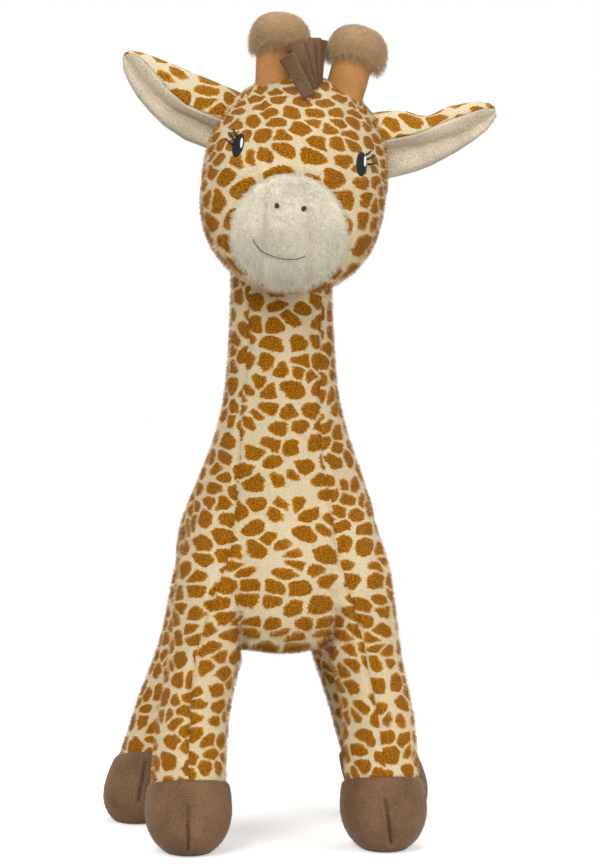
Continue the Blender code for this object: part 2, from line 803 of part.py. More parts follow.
mouth_points = []
for i in range(arc_steps + 1):
    across = -1 + 2 * i / arc_steps
    mouth_points.append((mouth_half_width * across, mouth_drop + mouth_curve * across * across))
mouth_line = surface_tube("mouth_thread", mouth_points, thread / 2, dark_brown)
boolean(mouth_line, "DIFFERENCE", head_clearance)


# Forelock: folded velour strips that stand in a row along the middle seam of the head
def velour_strip(name, root, tip):
    """A flat folded strip in a plane across the head, from its root in the seam to its cut end."""
    way = tip - root
    bm = bmesh.new()
    bmesh.ops.create_cube(bm, size=1)
    bmesh.ops.scale(bm, vec=(strip_width, strip_thickness, way.length), verts=bm.verts)
    strip = add_object(name, mesh_from(bm, name, False), taupe, head_frame)
    strip.location = (root + tip) / 2
    strip.rotation_euler = (0, math.atan2(way.x, way.z), 0)
    rounding = strip.modifiers.new("round_edges", "BEVEL")
    rounding.width = strip_thickness * 0.35
    rounding.segments = 2
    boolean(strip, "DIFFERENCE", head_clearance)
    return strip


for i, (tip_x_share, tip_z_share) in enumerate(strip_tip_shares):
    place_y = forelock_y + strip_pitch * i + (strip_pitch * 0.5 if i else 0)
    root = Vector((0, place_y, skull_radius * strip_root_share))
    tip = Vector((forelock_length * tip_x_share, place_y, forelock_length * tip_z_share))
    velour_strip(f"forelock_strip_{i + 1}", root, tip)


def scalloped(count, place):
    """Points along a fringe edge: place gives the point for a share along and the fringe's reach."""
    steps = count * 4
    points = []
    for i in range(steps + 1):
        along = i / steps
        points.append(place(along, 1 - mane_notch * abs(math.cos(math.pi * count * along))))
    return points


crest_start = math.radians(96)
crest_turn = math.radians(92)


def crest_point(along, reach):
    turn = crest_start - crest_turn * along
    radius = skull_radius + mane_depth * reach
    return radius * math.cos(turn), radius * math.sin(turn)


crest_root = skull_radius * crest_root_share
crest_outline = scalloped(7, crest_point) + arc(crest_root, crest_start - crest_turn, crest_start, 10)
half_mane = mane_thickness / 2
crest = side_plate("mane_head", crest_outline, -half_mane, half_mane, taupe, head_frame)
boolean(crest, "DIFFERENCE", head_clearance)

# Mane down the back of the neck: the same fringe ridge
trunk_clearance = as_cutter(soft_object("trunk_clearance", trunk_mesh, None, inflate=seam_gap))
mane_bottom = neck_base_height + neck_rise * mane_start_share
mane_top = neck_base_height + neck_rise * mane_end_share


def mane_point(along, reach):
    return neck_y + neck_half_width + mane_depth * reach, mane_bottom + (mane_top - mane_bottom) * along


mane_root = neck_y + neck_half_width * mane_root_share
mane_outline = scalloped(8, mane_point) + [(mane_root, mane_top), (mane_root, mane_bottom)]
mane = side_plate("mane_neck", mane_outline, -half_mane, half_mane, taupe)
boolean(mane, "DIFFERENCE", trunk_clearance)

# Tail: a stuffed tube that hangs from the rump, with a velour tuft
tail_root_y = body_y + body_half_length - tail_root_inset
tail_frame = add_empty("tail_frame", (0, tail_root_y, tail_root_height), giraffe, (tail_lean, 0, 0))


def ball(name, radius, parent):
    bm = bmesh.new()
    bmesh.ops.create_uvsphere(bm, u_segments=12, v_segments=8, radius=radius)
    return as_cutter(add_object(name, mesh_from(bm, name), None, parent))


tail_points = [(0, 0, 0), (0, 0, -tail_length * 0.5), (0, 0, -tail_length)]
tail_body = tube("tail", tail_points, tail_radius, spotted, tail_frame, tail_radius_shares)
tail_ball_radius = tail_radius * tail_ball_share
boolean(tail_body, "UNION", ball("tail_root", tail_ball_radius, tail_frame))
tail_socket = ball("tail_socket", tail_ball_radius + running_gap, tail_frame)
boolean(torso_skin, "DIFFERENCE", tail_socket)
boolean(torso_stuffing, "DIFFERENCE", tail_socket)
tuft_profile = [(tuft_radius * r, tuft_length * z) for r, z in tuft_shares]
tuft = turned("tail_tuft", tuft_profile, taupe, tail_frame)
tuft.location = (0, 0, -tail_length - seam_gap)
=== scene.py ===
import math
from contextlib import contextmanager

import bmesh
import bpy
import numpy as np
from mathutils import Matrix, Vector
from mathutils.bvhtree import BVHTree
from mathutils.kdtree import KDTree


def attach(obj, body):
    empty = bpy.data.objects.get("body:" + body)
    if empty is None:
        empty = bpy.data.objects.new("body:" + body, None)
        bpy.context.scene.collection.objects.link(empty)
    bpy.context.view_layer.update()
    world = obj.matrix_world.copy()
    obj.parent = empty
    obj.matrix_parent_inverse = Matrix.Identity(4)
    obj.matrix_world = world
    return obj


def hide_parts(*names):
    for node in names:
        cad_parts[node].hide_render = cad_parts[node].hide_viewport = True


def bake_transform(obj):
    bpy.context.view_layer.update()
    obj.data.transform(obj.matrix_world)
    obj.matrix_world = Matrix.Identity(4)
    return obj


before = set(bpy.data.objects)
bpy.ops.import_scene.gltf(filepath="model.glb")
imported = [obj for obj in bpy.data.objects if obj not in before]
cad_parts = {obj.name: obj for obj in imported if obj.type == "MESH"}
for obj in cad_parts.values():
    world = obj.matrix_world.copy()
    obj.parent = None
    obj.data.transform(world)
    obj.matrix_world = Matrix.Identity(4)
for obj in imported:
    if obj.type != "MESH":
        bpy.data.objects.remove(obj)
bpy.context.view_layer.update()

scene = bpy.context.scene
shift = Vector((-0.0157, -0.0055, 0))

# Camera: the photo's viewing point, and the way from it to a pixel of the photo
azimuth, elevation, distance = math.radians(-5.5), math.radians(3.5), 2.4
target = Vector((0, 0, 0.31)) + shift
back = Vector(
    (math.sin(azimuth) * math.cos(elevation), -math.cos(azimuth) * math.cos(elevation), math.sin(elevation))
)
eye_point = target + back * distance
right = Vector((math.cos(azimuth), math.sin(azimuth), 0))
upward = right.cross(-back)
metres_per_pixel = 0.000755
focal = distance / metres_per_pixel
middle_x, middle_y = 277.5, 428.5
photo_width, photo_height, sensor = 600, 867, 36


def way(px, py):
    return (-back * focal + right * (px - middle_x) - upward * (py - middle_y)).normalized()


def at_depth(px, py, y):
    """The point behind a pixel of the photo at one world y."""
    direction = way(px, py)
    return eye_point + direction * ((y - eye_point.y) / direction.y)


def seen(tree, px, py):
    """The place and normal of a surface behind a pixel of the photo."""
    return tree.ray_cast(eye_point, way(px, py))[:2]


def linked(name, data):
    obj = bpy.data.objects.new(name, data)
    scene.collection.objects.link(obj)
    return obj


camera = linked("camera", bpy.data.cameras.new("camera"))
camera.location = eye_point
camera.rotation_euler = way(photo_width / 2, photo_height / 2).to_track_quat("-Z", "Y").to_euler()
camera.data.sensor_width = sensor
camera.data.lens = focal * sensor / photo_height
scene.camera = camera


# Geometry helpers
def smooth(x, low, high):
    t = np.clip((np.asarray(x, float) - low) / (high - low), 0, 1)
    return t * t * (3 - 2 * t)


def spline_rows(rows, steps):
    """Catmull-Rom through the rows of numbers, steps to a span."""
    rows = np.asarray(rows, float)
    padded = np.vstack([2 * rows[0] - rows[1], rows, 2 * rows[-1] - rows[-2]])
    out = []
    for i in range(1, len(padded) - 2):
        a, b, c, d = padded[i - 1 : i + 3]
        for k in range(steps):
            t = k / steps
            bent = 2 * b + (c - a) * t + (2 * a - 5 * b + 4 * c - d) * t**2
            out.append(0.5 * (bent + (3 * b - a - 3 * c + d) * t**3))
    out.append(rows[-1])
    return np.array(out)


def add(name, points, faces):
    mesh = bpy.data.meshes.new(name)
    mesh.from_pydata([tuple(p) for p in points], [], [tuple(f) for f in faces])
    mesh.validate()
    mesh.shade_smooth()
    return linked(name, mesh)


def grid_faces(rows, columns, closed=False):
    faces = []
    for i in range(rows - 1):
        for j in range(columns if closed else columns - 1):
            k = (j + 1) % columns
            faces.append((i * columns + j, i * columns + k, (i + 1) * columns + k, (i + 1) * columns + j))
    return faces


def loft(name, stations, around=48, steps=6):
    """A closed form through (x, y, z, half_x, half_y) stations, bottom to top."""
    rows = spline_rows(stations, steps)
    rows[:, 3:] = np.maximum(rows[:, 3:], 0.0005)
    turns = np.linspace(0, 2 * math.pi, around, endpoint=False)
    points = [(x + a * math.cos(t), y + b * math.sin(t), z) for x, y, z, a, b in rows for t in turns]
    faces = grid_faces(len(rows), around, True)
    last = (len(rows) - 1) * around
    faces.append(tuple(range(around))[::-1])
    faces.append(tuple(last + i for i in range(around)))
    return add(name, points, faces)


def vectors(items, kind):
    """One vector of each vertex or face, as rows."""
    values = np.empty(len(items) * 3, np.float32)
    items.foreach_get(kind, values)
    return values.reshape(-1, 3).astype(float)


def indices(items, kind, count):
    values = np.empty(count, np.int32)
    items.foreach_get(kind, values)
    return values


def coordinates(obj):
    return vectors(obj.data.vertices, "co")


def normals(obj):
    return vectors(obj.data.vertices, "normal")


def set_coordinates(obj, points):
    obj.data.vertices.foreach_set("co", np.asarray(points, np.float32).ravel())
    obj.data.update()


def relax(obj, weight, rounds):
    """Moves each vertex towards its neighbours' middle, by its weight."""
    mesh = obj.data
    ends = indices(mesh.edges, "vertices", len(mesh.edges) * 2).reshape(-1, 2)
    points = coordinates(obj)
    count = np.bincount(ends.ravel(), minlength=len(points))[:, None]
    for _ in range(rounds):
        total = np.zeros_like(points)
        np.add.at(total, ends[:, 0], points[ends[:, 1]])
        np.add.at(total, ends[:, 1], points[ends[:, 0]])
        points += (total / np.maximum(count, 1) - points) * weight[:, None]
    set_coordinates(obj, points)


@contextmanager
def edited(obj):
    """A bmesh of the object's mesh, written back afterwards."""
    bm = bmesh.new()
    bm.from_mesh(obj.data)
    yield bm
    bm.to_mesh(obj.data)
    bm.free()
    obj.data.shade_smooth()


def face_outward(obj):
    with edited(obj) as bm:
        bmesh.ops.recalc_face_normals(bm, faces=bm.faces)
    return obj


def joined(name, objects):
    bm = bmesh.new()
    for obj in objects:
        bm.from_mesh(obj.data)
        bpy.data.objects.remove(obj)
    whole = linked(name, bpy.data.meshes.new(name))
    bm.to_mesh(whole.data)
    bm.free()
    whole.data.shade_smooth()
    return whole


def applied(obj):
    """The object with its modifiers turned into mesh."""
    bpy.context.view_layer.update()
    graph = bpy.context.evaluated_depsgraph_get()
    mesh = bpy.data.meshes.new_from_object(obj.evaluated_get(graph))
    obj.modifiers.clear()
    obj.data = mesh
    return obj


def remeshed(obj, size):
    modifier = obj.modifiers.new("remesh", "REMESH")
    modifier.mode = "VOXEL"
    modifier.voxel_size = size
    modifier.use_smooth_shade = True
    return applied(obj)


def surface_of(obj):
    mesh = obj.data
    return BVHTree.FromPolygons([v.co[:] for v in mesh.vertices], [tuple(p.vertices) for p in mesh.polygons])


def seen_points(tree, pixels, spacing=0.001):
    """Points on a surface behind a line of the photo's pixels, evenly spaced."""
    hits = [seen(tree, *pixel)[0] for pixel in pixels]
    return evenly([place for place in hits if place is not None], spacing)


def evenly(points, spacing):
    out = []
    for a, b in zip(points, points[1:]):
        count = max(1, int((b - a).length / spacing))
        out += [a.lerp(b, i / count) for i in range(count)]
    return out + points[-1:]


def near(points, line):
    """Each point's distance to a line of closely spaced points."""
    tree = KDTree(len(line))
    for i, place in enumerate(line):
        tree.insert(place, i)
    tree.balance()
    return np.array([tree.find(p)[2] for p in points])


# Trunk and legs: one soft surface, parted again along the seams
def trunk_stations():
    """Rows of x, y, height, half width and half length from the belly up to the neck's top."""
    belly, top, base, neck_top = 0.138, 0.250, 0.272, 0.474
    wide, long, neck, body_y, neck_y = 0.080, 0.113, 0.0385, 0.013, -0.030
    rows = [(0, body_y, belly, wide * 0.02, long * 0.02)]
    for up, move, across, along in (
        (0, 1, 0.30, 0.50), (0.10, 1, 0.66, 0.82), (0.30, 1, 0.92, 0.97), (0.56, 1, 1, 1),
        (0.80, 0.60, 1, 0.91),
    ):
        rows.append((0, body_y * move, belly + (top - belly) * up, wide * across, long * along))
    rows.append((0, neck_y * 0.30, top, wide * 0.93, long * 0.68))
    rows.append((0, neck_y * 0.80, base, wide * 0.81, long * 0.49))
    for up, across, along in (
        (0.16, 1.36, 1.20), (0.34, 1.13, 1.08), (0.58, 1.03, 1.01), (0.80, 1, 1), (1, 1, 1),
    ):
        rows.append((0, neck_y, base + (neck_top - base) * up, neck * across, neck * along))
    return [(x + shift.x, y + shift.y, z, a, b) for x, y, z, a, b in rows]


legs = {
    # side, y, hinge's height, half the stance at the floor and at the hinge, curve between the two
    "front_left": (1, -0.052, 0.185, 0.074, 0.053, 2.6),
    "front_right": (-1, -0.052, 0.185, 0.072, 0.053, 2.6),
    "hind_left": (1, 0.080, 0.180, 0.100, 0.047, 1.05),
    "hind_right": (-1, 0.080, 0.180, 0.104, 0.047, 1.05),
}
leg_tops = {
    # how a leg runs out inside the trunk: x, y, height, half width, half length
    "front": (
        (0.050, -0.050, 0.213, 0.034, 0.036), (0.042, -0.045, 0.243, 0.031, 0.031),
        (0.034, -0.038, 0.272, 0.023, 0.023), (0.028, -0.034, 0.292, 0.008, 0.008),
    ),
    "hind": (
        (0.043, 0.076, 0.208, 0.033, 0.034), (0.036, 0.064, 0.232, 0.026, 0.028),
        (0.030, 0.056, 0.246, 0.008, 0.008),
    ),
}
hoof_height, hoof_tilt = 0.050, math.tan(math.radians(14))
leg_half, bend_height = 0.0285, 0.18
voxel, pile_depth = 0.0022, 0.0020


def leg_centre(name, z):
    side, y, hinge, spread, top, curve = legs[name]
    return side * (spread + (top - spread) * (max(z, 0) / hinge) ** curve) + shift.x, y + shift.y


def leg_stations(name):
    side, hinge = legs[name][0], legs[name][2]
    shaft = hinge - hoof_height
    rows = [(0.020, leg_half, 0.030), (0.050, leg_half, 0.030)]
    for up, a, b in ((0.36, 0.99, 1), (0.70, 1.05, 1.10)):
        rows.append((hoof_height + shaft * up, leg_half * a, leg_half * b))
    rows = [(*leg_centre(name, z), z, a, b) for z, a, b in rows]
    rows.append((*leg_centre(name, hinge), hinge, 0.035, 0.0375))
    tops = leg_tops[name.split("_")[0]]
    return rows + [(side * x + shift.x, y + shift.y, z, a, b) for x, y, z, a, b in tops]


trunk_rows = trunk_stations()
forms = [loft("trunk_form", trunk_rows)]
forms += [loft(name + "_form", leg_stations(name)) for name in legs]
body = remeshed(joined("body", forms), voxel)
points = coordinates(body)
outer = smooth(np.abs(points[:, 0] - shift.x), 0.028, 0.055) * smooth(points[:, 2], 0.13, 0.19)
relax(body, 0.2 + 0.35 * outer, 4)
relax(body, 0.55 * outer, 60)
hips_drawn_in, belly_lift = 0.052, 0.0075


def slimmed(points):
    """Draws shoulders and hips in and the belly up, as the photo shows them."""
    x, z = points[:, 0] - shift.x, points[:, 2]
    hips = smooth(z, 0.09, 0.15) * (1 - smooth(z, 0.225, 0.285))
    belly = (1 - smooth(np.abs(x), 0.024, 0.056)) * (1 - smooth(z, 0.135, 0.190))
    return np.stack([shift.x + x * (1 - hips_drawn_in * hips), points[:, 1], z + belly_lift * belly], 1)


set_coordinates(body, slimmed(coordinates(body) - normals(body) * pile_depth))


# The leg ends in a sloping seam where the hoof is sewn on
slope_normal = Vector((0, hoof_tilt, 1)).normalized()
with edited(body) as bm:
    for middle in (legs["front_left"][1] + shift.y, legs["hind_left"][1] + shift.y):
        chosen = []
        for face in bm.faces:
            centre = face.calc_center_median()
            if centre.z < 0.10 and abs(centre.y - middle) < 0.06:
                chosen.append(face)
        around_them = [e for f in chosen for e in f.edges] + [v for f in chosen for v in f.verts]
        geometry = list(dict.fromkeys(chosen + around_them))
        bmesh.ops.bisect_plane(
            bm, geom=geometry, plane_co=(0, middle, hoof_height), plane_no=slope_normal, clear_inner=True
        )
    for lift, draw in ((0.0012, 0.955), (0.0035, 0.80)):
        rim = [e for e in bm.edges if e.is_boundary]
        made = bmesh.ops.extrude_edge_only(bm, edges=rim)["geom"]
        for v in [g for g in made if isinstance(g, bmesh.types.BMVert)]:
            leg_name = ("front_" if v.co.y < 0 else "hind_") + ("left" if v.co.x > shift.x else "right")
            x, y = leg_centre(leg_name, hoof_height)
            v.co.x = x + (v.co.x - x) * draw
            v.co.y = y + (v.co.y - y) * draw
            v.co.z -= lift
    bmesh.ops.recalc_face_normals(bm, faces=bm.faces)

# Seams: two down the front of neck and legs, in pixels of the photo, and one down the back
front_seams = {
    "right": [
        (250, 342), (244, 381), (241, 408), (240, 451), (238, 483), (237, 504), (233, 529), (230, 552),
        (226, 565), (220, 581), (212, 600), (205, 625), (197, 651), (191, 689), (190, 719), (188, 770),
        (188, 795),
    ],
    "left": [
        (321, 355), (320, 389), (320, 427), (323, 457), (327, 483), (332, 508), (335, 538), (338, 547),
        (343, 570), (348, 587), (354, 607), (359, 630), (364, 642), (369, 674), (374, 696), (379, 722),
        (381, 744), (385, 790),
    ],
}
surface = surface_of(body)
front_lines = {}
for side_name, pixels in front_seams.items():
    first = (pixels[0][0] + (pixels[0][0] - 285) * 0.02, 305)
    front_lines[side_name] = seen_points(surface, [first] + pixels)
forward = Vector((0, -1, 0))
back_line = [surface.ray_cast(Vector((shift.x, 0.4, z)), forward)[0] for z in np.linspace(0.47, 0.15, 60)]
back_line = evenly([place for place in back_line if place is not None], 0.001)


def crease(obj, line, depth, width, puff=0.25):
    """Draws the surface in along a seam, and lets it swell a little on both sides."""
    points, away = coordinates(obj), normals(obj)
    gap = near(points, line)
    swell = depth * puff * np.exp(-(((gap - width * 2.6) / (width * 1.2)) ** 2))
    move = -depth * np.exp(-((gap / width) ** 2)) + swell
    set_coordinates(obj, points + away * move[:, None])


# Parting: each leg is its own piece below the hip or shoulder
bend_top, bend_start, bend_end = 0.214, 0.180, 0.092
seam_depth, seam_width = 0.0018, 0.0020


def form_share(rows, place):
    """How far out a point lies in a form, 1 being its surface."""
    rows = np.array(rows)
    z = np.clip(place[:, 2], rows[:, 2].min(), rows[:, 2].max())
    x, y, a, b = (np.interp(z, rows[:, 2], rows[:, k]) for k in (0, 1, 3, 4))
    return np.hypot((place[:, 0] - x) / a, (place[:, 1] - y) / b)


def leg_over_trunk(name, place):
    """Below zero inside the leg's form, above it in the trunk's."""
    return form_share(leg_stations(name), place) - form_share(trunk_rows, place)


def cut_along(obj, values, chosen):
    """Splits faces where the vertices' values change sign, so that edges run along that line."""
    values = values.copy()

    def crossing(edge):
        a, b = (values[v.index] for v in edge.verts)
        return a / (a - b) if a * b < 0 else None

    with edited(obj) as bm:
        edges = [e for e in bm.edges if chosen[e.verts[0].index] and chosen[e.verts[1].index]]
        marked = []
        for edge in edges:
            share = crossing(edge)
            if share is not None and (share < 0.3 or share > 0.7):
                a, b = edge.verts
                place = a.co.lerp(b.co, share)
                nearest = a if share < 0.3 else b
                nearest.co = place
                values[nearest.index] = 0
                marked.append(nearest)
        for edge in edges:
            share = crossing(edge)
            if share is not None:
                marked.append(bmesh.utils.edge_split(edge, edge.verts[0], share)[1])
        bmesh.ops.connect_verts(bm, verts=marked)


# Fabric panels: the pattern starts anew at each seam
heights = np.linspace(hoof_height, 0.48, 200)
seam_x = {}
for side_name, line in front_lines.items():
    line = np.array([tuple(p) for p in line])
    order = np.argsort(line[:, 2])
    seam_x[side_name] = np.interp(heights, line[order, 2], line[order, 0])


def seam_gap(side_name, place):
    return place[:, 0] - np.interp(place[:, 2], heights, seam_x[side_name])


def middle_y_at(place):
    return np.interp(place[:, 2], [0.05, 0.185, 0.24, 0.30], [-0.0575, -0.0575, -0.03, -0.0355])


for side_name in seam_x:
    points = coordinates(body)
    cut_along(body, seam_gap(side_name, points), points[:, 1] < middle_y_at(points) + 0.004)
points = coordinates(body)
cut_along(body, points[:, 0] - shift.x, points[:, 1] > 0.0)
for name in legs:
    points = coordinates(body)
    apart = leg_over_trunk(name, points)
    cut_along(body, apart, (points[:, 2] < bend_top + 0.003) & (np.abs(apart) < 0.4))
    points = coordinates(body)
    side, y = legs[name][:2]
    ahead = points[:, 1] - y - shift.y
    inner = (leg_over_trunk(name, points) < 0.2) & ((points[:, 0] - leg_centre(name, 0.1)[0]) * side < 0)
    cut_along(body, ahead, inner & (points[:, 2] < 0.20) & (np.abs(ahead) < 0.02))

for line in (*front_lines.values(), back_line):
    crease(body, line, seam_depth, seam_width)
points = coordinates(body)
for name in legs:
    apart = np.abs(leg_over_trunk(name, points))
    inner = (points[:, 0] - leg_centre(name, bend_height)[0]) * legs[name][0] < 0.020
    for top, depth in ((0.196, 0.0014), (0.180, 0.0018)):
        fold = points[(apart < 0.03) & inner & (points[:, 2] < top) & (points[:, 2] > 0.128)]
        crease(body, fold, depth, 0.0034, 0.35)

# Each face's owner, 0 for the trunk or the leg's number, and its fabric panel
polygons = body.data.polygons
sizes = np.array([len(p.vertices) for p in polygons])
corners = indices(polygons, "vertices", sizes.sum())
centres = vectors(polygons, "center")
best = form_share(trunk_rows, centres)
owner = np.zeros(len(sizes), int)
for number, name in enumerate(legs, 1):
    share = form_share(leg_stations(name), centres)
    mine = (share < best) & (centres[:, 2] < bend_top)
    best[mine] = share[mine]
    owner[mine] = number
for number, name in enumerate(legs, 1):
    on_side = (centres[:, 0] > shift.x) == name.endswith("left")
    at_end = (centres[:, 1] < 0.01) == name.startswith("front")
    owner[(centres[:, 2] < 0.125) & on_side & at_end] = number
front = (seam_gap("left", centres) < 0) & (seam_gap("right", centres) > 0)
front &= centres[:, 1] < middle_y_at(centres)
panel = np.where(centres[:, 0] > shift.x, 2, 3)
panel[front] = 0
panel[(owner == 0) & ~front & (centres[:, 2] < 0.158)] = 1
panel_offsets = np.array([(0, 0), (0.313, 0.171), (0.731, 0.412), (1.193, 0.674)])

ring_z, ring_y, ring_a, ring_b = np.array(trunk_rows)[:, [2, 1, 3, 4]].T
pattern_low, pattern_high, leg_radius = 0.1381, 0.474, 0.031
fine_z = np.linspace(pattern_low, pattern_high, 300)


def climbed(out):
    """Length up a profile whose reach at each height is given, equal to z at the neck's top."""
    length = np.concatenate([[0], np.cumsum(np.hypot(np.diff(fine_z), np.diff(out)))])
    return length + fine_z[-1] - length[-1]


climbs = [climbed(np.interp(fine_z, ring_z, out)) for out in (ring_y - ring_b, ring_a, ring_y + ring_b)]


def unrolled(x, y, a, b):
    """Length along an ellipse from its front (-y) to the ray through (x, y)."""
    turn = np.arctan2(np.abs(x) / a, -y / b)
    share = (np.arange(24) + 0.5) / 24
    steps = turn[:, None] * share
    return np.hypot(a[:, None] * np.cos(steps), b[:, None] * np.sin(steps)).mean(1) * turn, turn


def leg_turn(name, place):
    centre = np.array([leg_centre(name, h) for h in np.minimum(place[:, 2], legs[name][2])])
    return np.arctan2((place[:, 0] - centre[:, 0]) * legs[name][0], centre[:, 1] - place[:, 1])


def pattern_place(points, middles, panels, owners):
    """Where each corner lies on the unrolled fabric, in metres; middles are the corners' face centres."""
    z = points[:, 2]
    flat_z = np.clip(z, pattern_low, pattern_high)
    x = points[:, 0] - shift.x
    side = np.sign(middles[:, 0] - shift.x)
    a, b = np.interp(flat_z, ring_z, ring_a), np.interp(flat_z, ring_z, ring_b)
    length, trunk_turn = unrolled(x, points[:, 1] - np.interp(z, ring_z, ring_y), a, b)
    u = side * length
    at_chest, at_flank, at_rump = (np.interp(flat_z, fine_z, climb) for climb in climbs)
    flank = np.sin(trunk_turn) ** 2
    v = at_flank * flank + np.where(trunk_turn < math.pi / 2, at_chest, at_rump) * (1 - flank)
    at_front, beneath = panels == 0, panels == 1
    u = np.where(at_front, u + (x - u) * smooth(-z, -0.30, -0.20), u)
    v = np.where(at_front, at_chest, v)
    u, v = np.where(beneath, x, u), np.where(beneath, -points[:, 1], v)
    for number, name in enumerate(legs, 1):
        mine = owners == number
        if not mine.any():
            continue
        turn, middle_turn = leg_turn(name, points[mine]), leg_turn(name, middles[mine])
        behind = (middle_turn < -math.pi / 2) & ~at_front[mine]
        middle_turn = np.where(behind, middle_turn + 2 * math.pi, middle_turn)
        turn += 2 * math.pi * np.round((middle_turn - turn) / (2 * math.pi))
        start = 0.045 if name.startswith("front") else 0.215 - leg_radius * math.pi / 2
        leg_u = legs[name][0] * (start + leg_radius * turn)
        u[mine] = leg_u + (u[mine] - leg_u) * smooth(z[mine], 0.150, bend_top)
        for group in (mine & at_front, mine & ~at_front):
            above = group & (z > 0.19)
            lift = (v - z)[above].mean() if above.any() else 0.0
            share = smooth(z[group], 0.150, bend_top)
            v[group] = z[group] + lift + (v[group] - z[group] - lift) * share
    return np.stack([u, v], 1)


def write_map(obj, place):
    layer = obj.data.uv_layers.new(name="pattern")
    layer.data.foreach_set("uv", np.asarray(place, np.float32).ravel())


def corner_vertices(obj):
    return indices(obj.data.loops, "vertex_index", len(obj.data.loops))


def part_of(source, name, chosen):
    """The chosen faces as an object of their own, with the pattern's place and the whole's shading."""
    starts = np.concatenate([[0], np.cumsum(sizes)])[:-1]
    faces = [tuple(corners[starts[i] : starts[i] + sizes[i]]) for i in np.nonzero(chosen)[0]]
    used = np.unique(np.concatenate([np.array(f) for f in faces]))
    number = np.full(len(source.data.vertices), -1)
    number[used] = np.arange(len(used))
    points, away = coordinates(source), normals(source)
    obj = add(name, points[used], [tuple(int(number[k]) for k in f) for f in faces])
    middles, panels, owners = (
        np.repeat(values[chosen], sizes[chosen], 0) for values in (centres, panel, owner)
    )
    place = pattern_place(coordinates(obj)[corner_vertices(obj)], middles, panels, owners)
    write_map(obj, place + panel_offsets[panels])
    obj.data.normals_split_custom_set_from_vertices([tuple(n) for n in away[used]])
    return obj


# Head: an egg, sampled in rings about the muzzle's axis so that the muzzle's seam is one of its rings
skull = 0.0705
head_matrix = (
    Matrix.Translation(Vector((0.0095, -0.046, 0.505)) + shift)
    @ Matrix.Rotation(math.radians(-4), 4, "Z")
    @ Matrix.Rotation(math.radians(9.3), 4, "Y")
)
egg_rows = [
    (-1.0, 0.02, 0.02), (-0.97, 0.34, 0.34), (-0.84, 0.62, 0.62), (-0.50, 0.90, 0.90), (-0.05, 1.00, 1.00),
    (0.36, 1.00, 0.97), (0.73, 0.98, 0.86), (1.06, 0.91, 0.72), (1.36, 0.76, 0.59), (1.55, 0.55, 0.43),
    (1.64, 0.28, 0.22), (1.66, 0.02, 0.02),
]
egg_size = skull - 0.0044
egg = loft("egg", [(0, 0, egg_size * z, egg_size * a, egg_size * b) for z, a, b in egg_rows], 64, 5)
egg.data.transform(head_matrix @ Matrix.Rotation(math.radians(90 + 42), 4, "X"))
egg_surface = surface_of(egg)
bpy.data.objects.remove(egg)
tilt = math.radians(14)
muzzle_way = (head_matrix.to_3x3() @ Vector((0, -math.cos(tilt), -math.sin(tilt)))).normalized()
side_way = (head_matrix.to_3x3() @ Vector((1, 0, 0))).normalized()
muzzle_up = side_way.cross(muzzle_way).normalized() * -1
muzzle_root = head_matrix @ Vector((0, 0, -0.029))
patch_radius = 0.0425
around, rings_in, rings_out = 200, 30, 90
rings = rings_in + rings_out
core = muzzle_root + muzzle_way * 0.005
head_grid = []
for j in range(around):
    turn = 2 * math.pi * j / around
    out = side_way * math.cos(turn) + muzzle_up * math.sin(turn)
    rim = egg_surface.ray_cast(muzzle_root + out * patch_radius + muzzle_way * 0.2, -muzzle_way)[0]
    seam_angle = (rim - core).angle(muzzle_way)
    for i in range(rings + 1):
        if i <= rings_in:
            angle = seam_angle * max(i, 0.02) / rings_in
        else:
            angle = seam_angle + (math.pi - seam_angle) * (min(i, rings - 0.02) - rings_in) / rings_out
        direction = muzzle_way * math.cos(angle) + out * math.sin(angle)
        head_grid.append(tuple(egg_surface.ray_cast(core, direction)[0]))
head_points = np.array(head_grid).reshape(around, rings + 1, 3).transpose(1, 0, 2)
outward = [face[::-1] for face in grid_faces(rings + 1, around, True)]
head_all = add("head_all", head_points.reshape(-1, 3), outward)
head_surface = surface_of(head_all)
nape_ring = 68
for ring, depth, width, puff in ((nape_ring, 0.0010, 0.0018, 0.4), (rings_in, 0.0019, 0.0022, 0.5)):
    rim = [Vector(p) for p in head_points[ring]]
    crease(head_all, evenly(rim + rim[:1], 0.001), depth, width, puff)
for depth, width, pixels in (
    (0.0010, 0.0028, [(268, 181), (266, 200), (265, 220), (264, 240), (261, 256), (260, 274)]),
    (0.0010, 0.0028, [(305, 188), (308, 207), (309, 230), (309, 255), (309, 279)]),
    (0.0013, 0.0020, [(263, 84), (260, 98), (263, 112), (267, 130), (270, 150), (268, 168)]),
    (0.0013, 0.0020, [(343, 96), (347, 108), (346, 120), (342, 134)]),
):
    crease(head_all, seen_points(head_surface, pixels), depth, width, 0.4)
head_surface = surface_of(head_all)


def azimuthal(pole, across, up, offset):
    """Where directions, given as their shares towards a pole, across and up, lie on the flattened head."""
    arc = np.arccos(np.clip(pole, -1, 1)) * skull * 1.05
    turn = np.arctan2(up, across)
    return np.stack([arc * np.cos(turn) + offset[0], arc * np.sin(turn) + offset[1]], 1)


